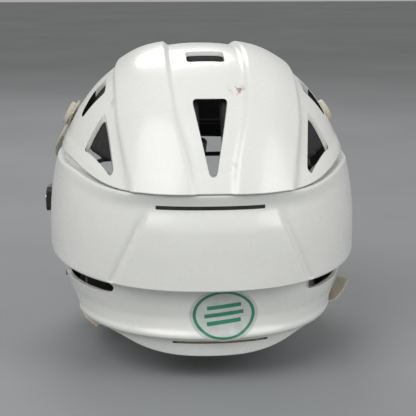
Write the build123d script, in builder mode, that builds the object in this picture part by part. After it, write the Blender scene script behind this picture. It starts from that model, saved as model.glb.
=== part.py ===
"""Field lacrosse helmet: two-piece shell, visor, wire face mask, chin guard, liner and chin harness.

Millimetres. +X is the wearer's left, -Y the face, +Z up. The helmet stands on its jaw flaps at Z = 0.
"""

import os
from math import copysign, cos, hypot, pi, radians, sin

from build123d import *

os.makedirs("parts", exist_ok=True)

# Shell size
crown_half_width = 111.5
crown_rear = 131.0
crown_front = 132.0
crown_rise = 136.0
widest_height = 89.0
ear_line_y = 20.0
shell_wall = 3.2
wall_step = 2.5
wall_rear_step = 1.0
wall_front = 150.0
jaw_half_width = 78.0
jaw_rear = 112.0
jaw_front = 160.0
band_height = 78.0
band_half_width = 110.0
band_rear = 123.5
band_front = 172.0

# Shell form: powers of the superellipses, and the rings that the lofts pass through
plan_power_share = 2.25
crown_power_share = 2.3
lower_power_share = 2.6
lower_drop = 198.0
band_ease_share = 0.3
ring_steps = 8
crown_ring_degrees = (12, 28, 43, 57, 70, 81, 89)
wall_ring_shares = (0.6, 0.8, 1.0, 1.21, 1.42, 1.64)
band_ring_shares = (0.0, 0.38, 0.77, 1.2)

# Fits and cuts
fit_gap = 0.3
running_gap = 0.05
overrun = 20.0
reach_out = 180.0

# Crown: rim, rear lip and the two raised lobes beside the centre channel
rim_rear_height = 136.0
rim_side_height = 150.0
rim_x_shares = (0.0, 0.4, 0.56, 0.68, 0.77, 0.86, 1.1)
rim_lift_shares = (0.0, 0.0, 0.05, 0.28, 0.6, 0.95, 1.0)
lip_flare = 6.0
lip_flare_height = 34.0
lobe_rise = 4.0
lobe_inner_x = 23.0
lobe_tail_x = 11.0
lobe_outer_x = 66.0
lobe_front_y = -62.0

# Crown vents
centre_vent_top = 194.0
centre_vent_bottom = 147.0
centre_vent_top_half = 12.0
centre_vent_bottom_half = 2.6
top_vent_width = 26.0
top_vent_length = 19.0
top_vent_y = 64.0
side_vent_length = 33.0
side_vent_width = 15.0
vent_corner = 1.5

# Rear shell
seam_height = 79.0
seam_tilt = -4.3
shoulder_drop = 6.0
neck_wall = 2.8
neck_overlap = 9.0
neck_bottom = 125.0
cheek_edge_y = -56.0
jaw_edge_y = -112.0
jaw_top = 42.0
jaw_heel_y = -30.0
heel_run = 16.0
under_ear_height = 34.0
nape_height = 19.0
nape_side_y = 75.0
edge_corner = 5.0
lip_height = 34.0
lip_band = 10.0
lip_reach = 5.5
lip_front_y = 66.0
ear_hole_length = 44.0
ear_hole_height = 34.0
ear_hole_corner = 14.0
ear_hole_height_z = 98.0
slot_length = 42.0
slot_height = 6.0
slot_y = 108.0


def level_face(size, height):
    """Left half of a form's level face: a superellipse with its own rear and front reach."""
    half_width, rear, front = size
    points = []
    for step in range(ring_steps + 1):
        turn = pi * step / ring_steps
        across, along = sin(turn), -cos(turn)
        reach = rear if along > 0 else front
        x = half_width * abs(across) ** (2 / plan_power_share)
        y = ear_line_y + reach * copysign(abs(along) ** (2 / plan_power_share), along)
        points.append((0 if step in (0, ring_steps) else x, y))
    with BuildSketch(Plane.XY.offset(height)) as level:
        with BuildLine():
            Spline(*points, tangents=[(1, 0), (-1, 0)], tangent_scalars=[1, 1])
            Line(points[-1], points[0])
        make_face()
    return level.sketch


def neck_size(height, grow):
    """Half width, rear reach and front reach of the neck's dome at one height, grown outward."""
    rise = crown_rise + grow
    share = (1 - ((height - widest_height) / rise) ** crown_power_share) ** (1 / crown_power_share)
    return (crown_half_width + grow) * share, (crown_rear + grow) * share, (crown_front + grow) * share


def crown_size(height, grow):
    """The same for the crown, whose rear flares out into a lip."""
    half_width, rear, front = neck_size(height, grow)
    to_lip = max(0.0, (rim_rear_height + lip_flare_height - height) / lip_flare_height)
    return half_width, rear + lip_flare * to_lip**2, front


def wall_size(height, grow):
    """The same for the upper wall of the rear shell."""
    lift = height - widest_height
    if lift > 0:
        share = (1 - (lift / crown_rise) ** crown_power_share) ** (1 / crown_power_share)
    else:
        share = (1 - (-lift / lower_drop) ** lower_power_share) ** (1 / lower_power_share)
    half_width = (crown_half_width + wall_step) * share + grow
    rear = (crown_rear + wall_rear_step) * share + grow
    return half_width, rear, wall_front * share + grow


def band_size(height, grow):
    """The same for the lower band, which runs forward into the jaw flaps."""
    share = height / band_height
    ease = (1 + band_ease_share) * share - band_ease_share * share**2
    half_width = jaw_half_width + (band_half_width - jaw_half_width) * ease + grow
    rear = jaw_rear + (band_rear - jaw_rear) * ease + grow
    return half_width, rear, jaw_front + (band_front - jaw_front) * ease + grow


def shell_form(size_at, heights, grow):
    """Left half of a solid form, lofted through its level faces."""
    with BuildPart() as form:
        loft([level_face(size_at(height, grow), height) for height in heights])
    return form.part


def dome_form(size_at, grow):
    """Solid dome from below the rim to the apex."""
    rise = crown_rise + grow
    heights = [widest_height + rise * sin(radians(angle)) for angle in crown_ring_degrees]
    return shell_form(size_at, heights, grow)


def crown_form(grow):
    """Solid dome of the crown."""
    return dome_form(crown_size, grow)


def wall_form(grow):
    """Solid form of the rear shell's upper wall."""
    return shell_form(wall_size, [widest_height * share for share in wall_ring_shares], grow)


def band_form(grow):
    """Solid form of the lower band and the jaw flaps."""
    return shell_form(band_size, [band_height * share for share in band_ring_shares], grow)


def side_x(size, y):
    """Half width of a level superellipse at y."""
    half_width, rear, front = size
    reach = rear if y > ear_line_y else front
    along = abs((y - ear_line_y) / reach) ** plan_power_share
    return half_width * (1 - along) ** (1 / plan_power_share)


def end_y(size, x, rearward):
    """Y of a level superellipse at x, on its rear or its front half."""
    half_width, rear, front = size
    across = abs(x / half_width) ** plan_power_share
    along = (1 - across) ** (1 / plan_power_share)
    return ear_line_y + (rear * along if rearward else -front * along)


def side_seat(size_at, y, height, grow):
    """Plane on the wearer's left of a form, with its Z pointing straight out of the surface."""
    step = fit_gap
    x = side_x(size_at(height, grow), y)
    slope_y = (side_x(size_at(height, grow), y + step) - side_x(size_at(height, grow), y - step)) / (2 * step)
    slope_z = (side_x(size_at(height + step, grow), y) - side_x(size_at(height - step, grow), y)) / (2 * step)
    return Plane(origin=(x, y, height), x_dir=(slope_y, 1, 0), z_dir=(1, -slope_y, -slope_z))


def below_rim(centre_drop, side_drop):
    """Block of space below the crown's rim line, lowered by the two drops."""
    points = []
    for x_share, lift_share in zip(rim_x_shares, rim_lift_shares):
        drop = centre_drop + (side_drop - centre_drop) * lift_share
        height = rim_rear_height + (rim_side_height - rim_rear_height) * lift_share - drop
        points.append((crown_half_width * x_share, height))
    mirrored = [(-x, height) for x, height in reversed(points[1:])]
    end_x, floor = points[-1][0], rim_rear_height - reach_out
    with BuildPart() as block:
        with BuildSketch(Plane.XZ):
            with BuildLine():
                Spline(*mirrored, *points)
                Polyline(points[-1], (end_x, floor), (-end_x, floor), mirrored[0])
            make_face()
        extrude(amount=reach_out, both=True)
    return block.part


def lobe_block(form):
    """Left lobe of the crown, cut from a grown dome."""
    rear_y = ear_line_y + crown_rear
    with BuildPart() as block:
        with BuildSketch(Plane.XY.offset(widest_height)):
            with BuildLine():
                Polyline(
                    (lobe_inner_x, lobe_front_y),
                    (lobe_inner_x, widest_height),
                    (lobe_tail_x, rear_y),
                    (lobe_outer_x - lobe_tail_x, rear_y),
                    (lobe_outer_x, widest_height),
                    (lobe_outer_x, lobe_front_y + lobe_inner_x),
                    (lobe_outer_x - lobe_tail_x, lobe_front_y),
                    close=True,
                )
            make_face()
        extrude(amount=crown_rise + overrun)
        add(form, mode=Mode.INTERSECT)
        add(rim_block, mode=Mode.SUBTRACT)
    return block.part


# Screws and nuts
screw_radius = 2.0
screw_head_radius = 4.4
screw_head_height = 2.0
screw_grip = 8.0
spot_depth = 0.6
nut_radius = 4.6
nut_height = 2.6
shell_screw_ys = (-34.0, 16.0)
shell_screw_height = 154.5

# Visor
visor_wall = 3.0
visor_front_y = -149.0
visor_side_y = -58.0
visor_half_width = 97.0
visor_bottom = 139.0
visor_top = 154.0
peak_drop = 7.0
peak_slot_length = 34.0
peak_slot_width = 7.0
peak_slot_y = -115.0
peak_slot_x = 44.0
visor_screw_y = -68.0
visor_screw_height = 148.5

# Face mask
wire_radius = 2.2
mask_top_height = 114.0
mask_eye_height = 76.0
mask_mid_height = 61.0
mask_low_height = 47.5
mask_front_y = -149.8
mask_corner = 9.0
mask_brow_x = 34.0
mask_temple_x = 75.5
mask_temple_y = -120.0
mask_temple_run = 24.0
mask_side_x = 109.5
mask_side_top = (-54.0, 106.0)
mask_side_bottom = (-48.0, 92.0)
mask_cheek_in = 4.4
mask_chin_x = 87.6
mask_chin_y = -90.0
mask_chin_lift = 6.6
mask_low_x = 62.4
mask_low_run = 20.0
inner_upright_x = 20.0
outer_upright_x = 50.0
top_loop_half = 14.0
top_loop_y = -121.0
top_loop_height = 130.5
top_loop_corner = 6.0
top_clip_half = 9.0
top_clip_front = 6.0
top_clip_rear = 13.5
top_clip_drop = 4.5
top_clip_screw_run = 8.5
top_screw_length = 9.0
clip_length = 28.0
clip_height = 20.0
clip_thickness = 10.0
clip_y = -42.0
clip_z = 98.0
clip_screw_y = -35.0

# Chin guard
chin_back_y = -84.0
chin_top = 44.0
chin_wall = 3.2
chin_slot_length = 26.0
chin_slot_height = 7.0
chin_slot_x = 22.0
chin_slot_z = 22.0
chin_screw_y = -98.0
chin_screw_height = 24.0

# Liner and comfort pads
liner_wall = 13.0
liner_lift = 13.0
liner_split_x = 27.0
liner_front_y = -34.0
liner_rear_y = 62.0
liner_gap = 6.0
liner_channel = 14.0
pad_wall = 9.0
pad_corner = 8.0
brow_pad_height = 168.0
brow_pad_length = 104.0
brow_pad_width = 28.0
crown_pad_y = 14.0
crown_pad_width = 44.0
crown_pad_length = 82.0
jaw_pad_wall = 15.0
jaw_pad_y = -41.5
jaw_pad_z = 105.0
jaw_pad_length = 30.0
jaw_pad_height = 31.0
nut_room = 1.4
nut_slack = 0.45
visor_nut_slack = 1.1

# Fit cradle at the nape
cradle_gap = 14.0
cradle_wall = 2.6
cradle_half = 62.0
cradle_z = 83.0
cradle_height = 50.0
cradle_corner = 12.0
cradle_margin = 6.0
cradle_pad_wall = 8.0
socket_front_y = 133.0
socket_radius = 5.0
post_radius = 2.5
post_x = 30.0
post_height = 84.0
post_engaged = 10.5

# Chin cup and webbing
web_width = 16.0
web_thickness = 1.6
web_tail = 9.0
cup_half_width = 37.0
cup_radius = 25.0
cup_wall = 2.4
cup_pad_wall = 6.0
cup_y = -108.0
cup_height = 42.0
cup_tilt = 40.0
half_turn = 180.0
ear_x = 33.0
cup_ear_y = -103.0
cup_ear_length = 34.0
cup_ear_height = 46.0
rivet_spots = ((-96.0, 54.0), (-96.0, 31.4))
rivet_radius = 1.6
rivet_head_radius = 3.6
rivet_head = 1.2

# Snaps and the run of the upper straps
stud_radius = 3.0
stud_flange = 1.6
stud_height = 5.6
cap_radius = 9.0
cap_height = 3.4
upper_stud_y = -6.0
upper_stud_height = 168.0
shoulder_y = -27.0
shoulder_height = 148.0
shoulder_bulge = 5.5
cheek_strap_y = -66.0
cheek_strap_height = 122.0
strap_bend = (84.0, -84.0, 88.0)
ear_strap_top = (-92.5, 62.0)
ear_strap_end = (-98.0, 48.0)

# Pivots and the run of the lower straps
anchor_y = 25.0
anchor_height = 54.0
anchor_radius = 8.0
anchor_wall = 1.8
anchor_arm = 20.0
plate_x = 94.6
plate_rivet_spot = (9.0, 52.8)
pivot_step_radius = 3.4
pivot_step = 2.8
plate_strap_rear = (17.0, 53.4)
plate_strap_front = (2.0, 52.0)
lower_run_rear = (87.5, -14.0, 49.5)
lower_run_middle = (80.0, -40.0, 46.0)
lower_run_front = (62.0, -72.0, 39.0)
ear_low_rear = (-89.0, 33.5)
ear_low_front = (-103.0, 29.3)

# Free tails of the straps: the middle of each section and the way its face looks
left_tail_stations = (
    ((89.0, 4.0, 47.0), (1, 0, 0)),
    ((88.8, 20.0, 36.0), (1, 0, 0)),
    ((87.0, 32.0, 26.0), (1, 0.3, 0.3)),
    ((73.0, 46.0, 14.0), (0.6, 0.6, 0.4)),
)
right_tail_stations = (
    ((-89.0, 4.0, 47.0), (-1, 0, 0)),
    ((-88.4, 18.0, 34.0), (-1, 0, 0)),
    ((-92.0, 25.0, 24.0), (0.2, -0.45, 0.9)),
    ((-102.0, 26.0, 27.0), (0.82, 0.15, 0.55)),
    ((-109.0, 24.0, 38.0), (1, 0.7, 0.3)),
    ((-114.0, 21.0, 53.0), (1, 0.7, 0.3)),
)


def side_profile():
    """Block inside the rear shell's edge line, seen from the side."""
    rear_y = ear_line_y + reach_out
    with BuildPart() as block:
        with BuildSketch(Plane.YZ):
            with BuildLine():
                FilletPolyline(
                    (rear_y, rim_side_height + overrun),
                    (cheek_edge_y, rim_side_height + overrun),
                    (cheek_edge_y, (jaw_top + band_height) / 2),
                    (jaw_edge_y + overrun, jaw_top),
                    (jaw_edge_y, jaw_top),
                    (jaw_edge_y, 0),
                    (jaw_heel_y, 0),
                    (jaw_heel_y + heel_run, under_ear_height),
                    (nape_side_y, under_ear_height),
                    (ear_line_y + jaw_rear, nape_height),
                    (rear_y, nape_height),
                    radius=edge_corner,
                    close=True,
                )
            make_face()
        extrude(amount=reach_out, both=True)
    return block.part


def screw_set(planes, length):
    """Pan-head screws, each with its head in the spot face of its plane."""
    with BuildPart() as screws:
        for plane in planes:
            with BuildSketch(plane.offset(-spot_depth)):
                Circle(screw_head_radius)
            extrude(amount=screw_head_height)
            with BuildSketch(plane.offset(-spot_depth)):
                Circle(screw_radius)
            extrude(amount=-length)
    return screws.part


def screw_room(planes, depth):
    """Spot faces and clearance holes for such screws."""
    with BuildPart() as room:
        for plane in planes:
            with BuildSketch(plane.offset(-spot_depth)):
                Circle(screw_head_radius + fit_gap)
            extrude(amount=overrun)
            with BuildSketch(plane):
                Circle(screw_radius + running_gap)
            extrude(amount=-depth)
    return room.part


def nut_set(planes, depth):
    """Round nuts on the screws, their faces depth below the planes."""
    with BuildPart() as nuts:
        for plane in planes:
            with BuildSketch(plane.offset(-depth)):
                Circle(nut_radius)
                Circle(screw_radius + running_gap, mode=Mode.SUBTRACT)
            extrude(amount=-nut_height)
    return nuts.part


def mirrored(half):
    """Mirror image of a piece, on the right of the helmet."""
    with BuildPart() as image:
        mirror(half, about=Plane.YZ)
    return image.part


def whole(half):
    """Both halves of a piece in one."""
    with BuildPart() as both:
        add(half)
        add(mirrored(half), clean=False)
    return both.part


def save(piece, name):
    """Label a piece and write its STEP file."""
    piece.label = name
    export_step(piece, f"parts/{name}.step")


# Forms that several pieces share
crown_outer = crown_form(0)
crown_inner = crown_form(-shell_wall)
neck_outer = dome_form(neck_size, -shell_wall - fit_gap)
neck_inner = dome_form(neck_size, -shell_wall - fit_gap - neck_wall)
rim_block = below_rim(0, 0)
edge_block = side_profile()
seam_plane = Plane(
    origin=(0, ear_line_y, seam_height),
    z_dir=(0, -sin(radians(seam_tilt)), cos(radians(seam_tilt))),
)
shell_screw_planes = [side_seat(crown_size, y, shell_screw_height, 0) for y in shell_screw_ys]
visor_screw_planes = [side_seat(crown_size, visor_screw_y, visor_screw_height, fit_gap + visor_wall)]
upper_stud_plane = side_seat(crown_size, upper_stud_y, upper_stud_height, 0)
chin_screw_planes = [side_seat(band_size, chin_screw_y, chin_screw_height, 0)]
clip_screw_planes = [side_seat(wall_size, clip_screw_y, clip_z, clip_thickness)]
anchor_seat = side_seat(band_size, anchor_y, anchor_height, 0)
pivot_plane = Plane(origin=anchor_seat.origin, x_dir=(0, 1, 0), z_dir=(1, 0, 0))

# Vents of the crown: one from the rear, the others from above
with BuildPart() as crown_vents:
    with BuildSketch(Plane.XZ.offset(-ear_line_y)):
        with BuildLine():
            FilletPolyline(
                (centre_vent_top_half, centre_vent_top),
                (centre_vent_bottom_half, centre_vent_bottom),
                (-centre_vent_bottom_half, centre_vent_bottom),
                (-centre_vent_top_half, centre_vent_top),
                radius=vent_corner,
                close=True,
            )
        make_face()
    extrude(amount=-reach_out)
    with BuildSketch(Plane.XY.offset(rim_side_height)):
        with Locations((0, top_vent_y)):
            RectangleRounded(top_vent_width, top_vent_length, vent_corner)
    extrude(amount=crown_rise)
with BuildPart() as side_vents:
    with BuildSketch(Plane.XY.offset(rim_rear_height)):
        with BuildLine():
            FilletPolyline(
                (lobe_outer_x + vent_corner * 3, widest_height),
                (lobe_outer_x, widest_height + side_vent_length),
                (lobe_outer_x + side_vent_width + vent_corner, widest_height + vent_corner),
                radius=vent_corner,
                close=True,
            )
        make_face()
        with BuildLine():
            FilletPolyline(
                (lobe_outer_x + vent_corner * 3, widest_height - side_vent_length + vent_corner * 4),
                (lobe_outer_x + vent_corner * 3, widest_height - side_vent_length - side_vent_width),
                (lobe_outer_x + side_vent_width, widest_height - side_vent_length - vent_corner * 4),
                (lobe_outer_x + side_vent_width + vent_corner * 3, widest_height - side_vent_length),
                radius=vent_corner,
                close=True,
            )
        make_face()
    extrude(amount=crown_rise)

# Crown shell
crown_screw_room = screw_room(shell_screw_planes + [upper_stud_plane] + visor_screw_planes, overrun)
with BuildPart() as crown_shell:
    add(crown_outer)
    add(crown_screw_room, mode=Mode.SUBTRACT, clean=False)
    add(side_vents.part, mode=Mode.SUBTRACT, clean=False)
    add(crown_vents.part, mode=Mode.SUBTRACT, clean=False)
    add(rim_block, mode=Mode.SUBTRACT, clean=False)
    add(lobe_block(crown_form(lobe_rise)), clean=False)
    add(crown_inner, mode=Mode.SUBTRACT, clean=False)
save(whole(crown_shell.part), "crown_shell")

# Rear shell: upper wall, neck that the crown sits over, lower band with lip, jaw flaps
with BuildPart() as rear_slots:
    with BuildSketch(Plane.YZ):
        with Locations((slot_y, seam_height - slot_height * 2)):
            Rectangle(slot_length, slot_height)
    extrude(amount=reach_out, both=True)
with BuildPart() as ear_holes:
    with BuildSketch(Plane.YZ):
        with Locations((0, ear_hole_height_z)):
            RectangleRounded(ear_hole_length, ear_hole_height, ear_hole_corner)
    extrude(amount=reach_out, both=True)
with BuildPart() as rear_hollow:
    add(wall_form(-shell_wall))
    split(bisect_by=seam_plane.offset(shell_wall), keep=Keep.TOP)
    split(bisect_by=Plane.XY.offset(neck_bottom + neck_wall), keep=Keep.BOTTOM)
with BuildPart() as rear_well:
    add(band_form(-shell_wall))
    split(bisect_by=seam_plane.offset(shell_wall + lip_reach), keep=Keep.BOTTOM)
with BuildPart() as rear_neck:
    add(neck_outer)
    add(screw_room(shell_screw_planes, overrun), mode=Mode.SUBTRACT, clean=False)
    split(bisect_by=Plane.XY.offset(neck_bottom), keep=Keep.TOP)
    add(below_rim(-neck_overlap, -neck_overlap), mode=Mode.INTERSECT, clean=False)
with BuildPart() as rear_wall:
    add(wall_form(0))
    add(ear_holes.part, mode=Mode.SUBTRACT, clean=False)
    add(screw_room(clip_screw_planes, overrun), mode=Mode.SUBTRACT, clean=False)
    split(bisect_by=seam_plane, keep=Keep.TOP)
    add(below_rim(fit_gap, shoulder_drop), mode=Mode.INTERSECT, clean=False)
    add(rear_neck.part, clean=False)
    add(rear_hollow.part, mode=Mode.SUBTRACT, clean=False)
    add(neck_inner, mode=Mode.SUBTRACT, clean=False)
    add(rear_well.part, mode=Mode.SUBTRACT, clean=False)
lip_top = lip_height + lip_band
lip_size = band_size(lip_height, 0)
with BuildPart() as rear_lip:
    loft(
        [
            level_face((lip_size[0] + wall_rear_step, lip_size[1] + lip_reach, lip_size[2]), lip_height),
            level_face(band_size(lip_top, -wall_rear_step), lip_top),
        ]
    )
    split(bisect_by=Plane.XZ.offset(-lip_front_y), keep=Keep.BOTTOM)
with BuildPart() as rear_band:
    add(band_form(0))
    add(screw_room(chin_screw_planes + [pivot_plane], overrun), mode=Mode.SUBTRACT, clean=False)
    add(rear_slots.part, mode=Mode.SUBTRACT, clean=False)
    split(bisect_by=seam_plane, keep=Keep.BOTTOM)
    add(rear_lip.part, clean=False)
    add(rear_well.part, mode=Mode.SUBTRACT, clean=False)
with BuildPart() as rear_shell:
    add(rear_wall.part)
    add(rear_band.part, clean=False)
    add(edge_block, mode=Mode.INTERSECT, clean=False)
save(whole(rear_shell.part), "rear_shell")

# Visor: a skirt that hugs the crown's brow, and a peak with slots


def peak_height(y):
    """Height of the peak's underside at y."""
    return visor_bottom + peak_drop - 2 * peak_drop * (visor_side_y - y) / (visor_side_y - visor_front_y)


top_clip_y = top_loop_y + top_clip_screw_run
top_clip_plane = Plane(
    origin=(0, top_clip_y, peak_height(top_clip_y) + visor_wall),
    x_dir=(1, 0, 0),
    z_dir=(0, 2 * peak_drop / (visor_front_y - visor_side_y), 1),
)
with BuildPart() as visor_skirt:
    add(crown_form(fit_gap + visor_wall))
    split(bisect_by=Plane.XY.offset(visor_bottom), keep=Keep.TOP)
    split(bisect_by=Plane.XY.offset(visor_top), keep=Keep.BOTTOM)
with BuildPart() as visor_outline:
    add(level_face((visor_half_width, crown_rear, ear_line_y - visor_front_y), visor_bottom - 2 * peak_drop))
    extrude(amount=band_height)
with BuildPart() as visor_peak:
    with BuildSketch(Plane.YZ):
        with BuildLine():
            Polyline(
                (0, peak_height(visor_side_y)),
                (visor_side_y, peak_height(visor_side_y)),
                (visor_front_y - overrun, peak_height(visor_front_y - overrun)),
                (visor_front_y - overrun, peak_height(visor_front_y - overrun) + visor_wall),
                (visor_side_y, peak_height(visor_side_y) + visor_wall),
                (0, peak_height(visor_side_y) + visor_wall),
                close=True,
            )
        make_face()
    extrude(amount=visor_half_width)
    add(visor_outline.part, mode=Mode.INTERSECT)
with BuildPart() as visor:
    add(visor_skirt.part)
    add(visor_peak.part)
    add(crown_form(fit_gap), mode=Mode.SUBTRACT)
    split(bisect_by=Plane.XZ.offset(-visor_side_y), keep=Keep.TOP)
    with BuildSketch(Plane.XY.offset(visor_bottom - overrun)):
        with Locations((peak_slot_x, peak_slot_y)):
            SlotOverall(peak_slot_length, peak_slot_width)
    extrude(amount=2 * overrun, mode=Mode.SUBTRACT)
    add(screw_room(visor_screw_planes, overrun), mode=Mode.SUBTRACT)
    add(screw_room([top_clip_plane], overrun / 2), mode=Mode.SUBTRACT)
save(whole(visor.part), "visor")

# Face mask: a frame wire bent in space, and bars welded to it
mask_top_y = mask_front_y + wire_radius * 2
mask_low_y = end_y(band_size(chin_top, -shell_wall * 1.5 - fit_gap), 0, False)
mask_cheek_top = (mask_side_x - mask_cheek_in, mask_side_top[0] - mask_cheek_in, mask_eye_height + mask_corner)
mask_cheek_bottom = (mask_chin_x, mask_chin_y, mask_low_height + mask_chin_lift)
frame_points = (
    (0, mask_top_y, mask_top_height),
    (mask_brow_x, mask_top_y, mask_top_height),
    (mask_temple_x, mask_temple_y, mask_top_height),
    (mask_side_x - mask_cheek_in, mask_side_top[0] - mask_temple_run, mask_top_height - wire_radius),
    (mask_side_x, *mask_side_top),
    (mask_side_x, *mask_side_bottom),
    mask_cheek_top,
    mask_cheek_bottom,
    (mask_low_x, mask_low_y + mask_low_run, mask_low_height),
    (mask_brow_x, mask_low_y, mask_low_height),
    (0, mask_low_y, mask_low_height),
)


def wire(line, radius):
    """Round wire along a line."""
    with BuildPart() as bent:
        with BuildSketch(Plane(origin=line @ 0, z_dir=line % 0)):
            Circle(radius)
        sweep(path=line)
    return bent.part


def mask_frame_half(radius):
    """Left half of the frame wire, from the brow round the temple and the cheek to the chin."""
    with BuildLine() as path:
        FilletPolyline(*frame_points, radius=mask_corner)
    return wire(path.line, radius)


def top_loop_wire(radius):
    """Left half of the loop that holds the mask under the visor."""
    with BuildLine() as path:
        FilletPolyline(
            (0, top_loop_y, top_loop_height),
            (top_loop_half, top_loop_y, top_loop_height),
            (top_loop_half, mask_top_y, mask_top_height),
            radius=top_loop_corner,
        )
    return wire(path.line, radius)


def cheek_point(height):
    """Point on the frame's cheek run at one height."""
    share = (mask_cheek_top[2] - height) / (mask_cheek_top[2] - mask_cheek_bottom[2])
    return tuple(top + (low - top) * share for top, low in zip(mask_cheek_top, mask_cheek_bottom))


def bar_y(height, x):
    """Y of the round crossbar at one height, at x."""
    end = cheek_point(height)
    sag = end[1] - mask_front_y
    bend = (end[0] ** 2 + sag**2) / (2 * sag)
    return mask_front_y + bend - (bend**2 - x**2) ** 0.5


def crossbar(height):
    """Crossbar of the mask: one round arc from cheek to cheek."""
    x, y, z = cheek_point(height)
    with BuildLine() as path:
        ThreePointArc((x, y, z), (0, mask_front_y, z), (-x, y, z))
    return wire(path.line, wire_radius)


def upright(x):
    """Upright bar at x, from the eye bar down to the frame."""
    low_share = max(0.0, (x - mask_brow_x) / (mask_low_x - mask_brow_x))
    with BuildLine() as path:
        ThreePointArc(
            (x, bar_y(mask_eye_height, x), mask_eye_height),
            (x, bar_y(mask_mid_height, x), mask_mid_height),
            (x, mask_low_y + mask_low_run * low_share, mask_low_height),
        )
    return wire(path.line, wire_radius)


save(whole(mask_frame_half(wire_radius)), "mask_frame")
save(crossbar(mask_eye_height), "mask_eye_bar")
save(crossbar(mask_mid_height), "mask_mid_bar")
save(whole(upright(inner_upright_x)), "mask_inner_uprights")
save(whole(upright(outer_upright_x)), "mask_outer_uprights")
save(whole(top_loop_wire(wire_radius)), "mask_top_loop")

# Mask clips at the temples, mirror images, each round the frame wire and screwed to the rear shell
with BuildPart() as mask_clip:
    with BuildSketch(Plane.YZ):
        with Locations((clip_y, clip_z)):
            RectangleRounded(clip_length, clip_height, edge_corner)
    extrude(amount=reach_out)
    add(wall_form(fit_gap + clip_thickness), mode=Mode.INTERSECT)
    add(wall_form(fit_gap), mode=Mode.SUBTRACT)
    add(mask_frame_half(wire_radius + running_gap), mode=Mode.SUBTRACT)
    add(screw_room(clip_screw_planes, overrun), mode=Mode.SUBTRACT)
save(mirrored(mask_clip.part), "mask_clip_right")
save(mask_clip.part, "mask_clip_left")

# Mask clip under the visor's peak, round the top loop
with BuildPart() as mask_top_clip:
    with BuildSketch(Plane.YZ):
        with BuildLine():
            Polyline(
                (top_loop_y - top_clip_front, top_loop_height - top_clip_drop),
                (top_loop_y + top_clip_rear, top_loop_height - top_clip_drop),
                (top_loop_y + top_clip_rear, peak_height(top_loop_y + top_clip_rear) - running_gap),
                (top_loop_y - top_clip_front, peak_height(top_loop_y - top_clip_front) - running_gap),
                close=True,
            )
        make_face()
    extrude(amount=top_clip_half)
    add(top_loop_wire(wire_radius + running_gap), mode=Mode.SUBTRACT)
    add(screw_room([top_clip_plane], top_screw_length + spot_depth + running_gap), mode=Mode.SUBTRACT)
save(whole(mask_top_clip.part), "mask_top_clip")

# Chin guard, nested inside the jaw flaps
with BuildPart() as chin_guard:
    add(band_form(-shell_wall - fit_gap))
    add(screw_room(chin_screw_planes, overrun), mode=Mode.SUBTRACT, clean=False)
    add(band_form(-shell_wall - fit_gap - chin_wall), mode=Mode.SUBTRACT, clean=False)
    with BuildSketch(Plane.YZ):
        with BuildLine():
            Polyline(
                (chin_back_y, 0),
                (chin_back_y, jaw_top - fit_gap),
                (-reach_out, chin_top),
                (-reach_out, 0),
                close=True,
            )
        make_face()
    extrude(amount=reach_out, mode=Mode.INTERSECT)
    with BuildSketch(Plane.XZ):
        with Locations((chin_slot_x, chin_slot_z)):
            SlotOverall(chin_slot_length, chin_slot_height)
    extrude(amount=reach_out, mode=Mode.SUBTRACT)
save(whole(chin_guard.part), "chin_guard")


# Screws and nuts
def nut_depth(plane, thickness):
    """Depth below a plane at which the nut of a leaning wall of this level thickness sits."""
    return thickness * hypot(plane.z_dir.X, plane.z_dir.Y) + nut_slack


shell_depth = shell_wall + fit_gap + neck_wall + nut_slack
visor_depth = visor_wall + fit_gap + shell_wall + visor_nut_slack
clip_depth = nut_depth(clip_screw_planes[0], clip_thickness + shell_wall)
chin_depth = nut_depth(chin_screw_planes[0], shell_wall + fit_gap + chin_wall)
for name, planes, depth in (
    ("shell", shell_screw_planes, shell_depth),
    ("visor", visor_screw_planes, visor_depth),
    ("clip", clip_screw_planes, clip_depth),
    ("chin", chin_screw_planes, chin_depth),
):
    save(whole(screw_set(planes, depth + nut_height + spot_depth)), f"{name}_screws")
    save(whole(nut_set(planes, depth)), f"{name}_nuts")
save(screw_set([top_clip_plane], top_screw_length), "top_clip_screw")


# Liner of foam against the inside of the crown, in six pieces
def liner_piece(left, right, front, rear):
    """Left-hand piece of the liner that stands over one rectangle of the plan."""
    with BuildPart() as piece:
        with BuildSketch(Plane.XY.offset(widest_height)):
            with Locations(((left + right) / 2, (front + rear) / 2)):
                Rectangle(right - left, rear - front)
        extrude(amount=reach_out)
        add(liner_outer, mode=Mode.INTERSECT)
        add(liner_floor, mode=Mode.SUBTRACT)
        add(liner_inner, mode=Mode.SUBTRACT)
    return piece.part


liner_outer = crown_form(-shell_wall - fit_gap)
liner_inner = crown_form(-shell_wall - fit_gap - liner_wall)
liner_floor = below_rim(-liner_lift, -liner_lift)
side_edge = liner_split_x + liner_gap
save(whole(liner_piece(0, reach_out, -reach_out, liner_front_y)), "liner_front")
save(whole(liner_piece(0, liner_split_x, liner_front_y + liner_gap, liner_rear_y)), "liner_top")
liner_side = liner_piece(side_edge, reach_out, liner_front_y + liner_gap, liner_rear_y)
save(mirrored(liner_side), "liner_right")
save(liner_side, "liner_left")
liner_rear = liner_piece(liner_channel / 2, reach_out, liner_rear_y + liner_gap, reach_out)
save(mirrored(liner_rear), "liner_rear_right")
save(liner_rear, "liner_rear_left")

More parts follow.
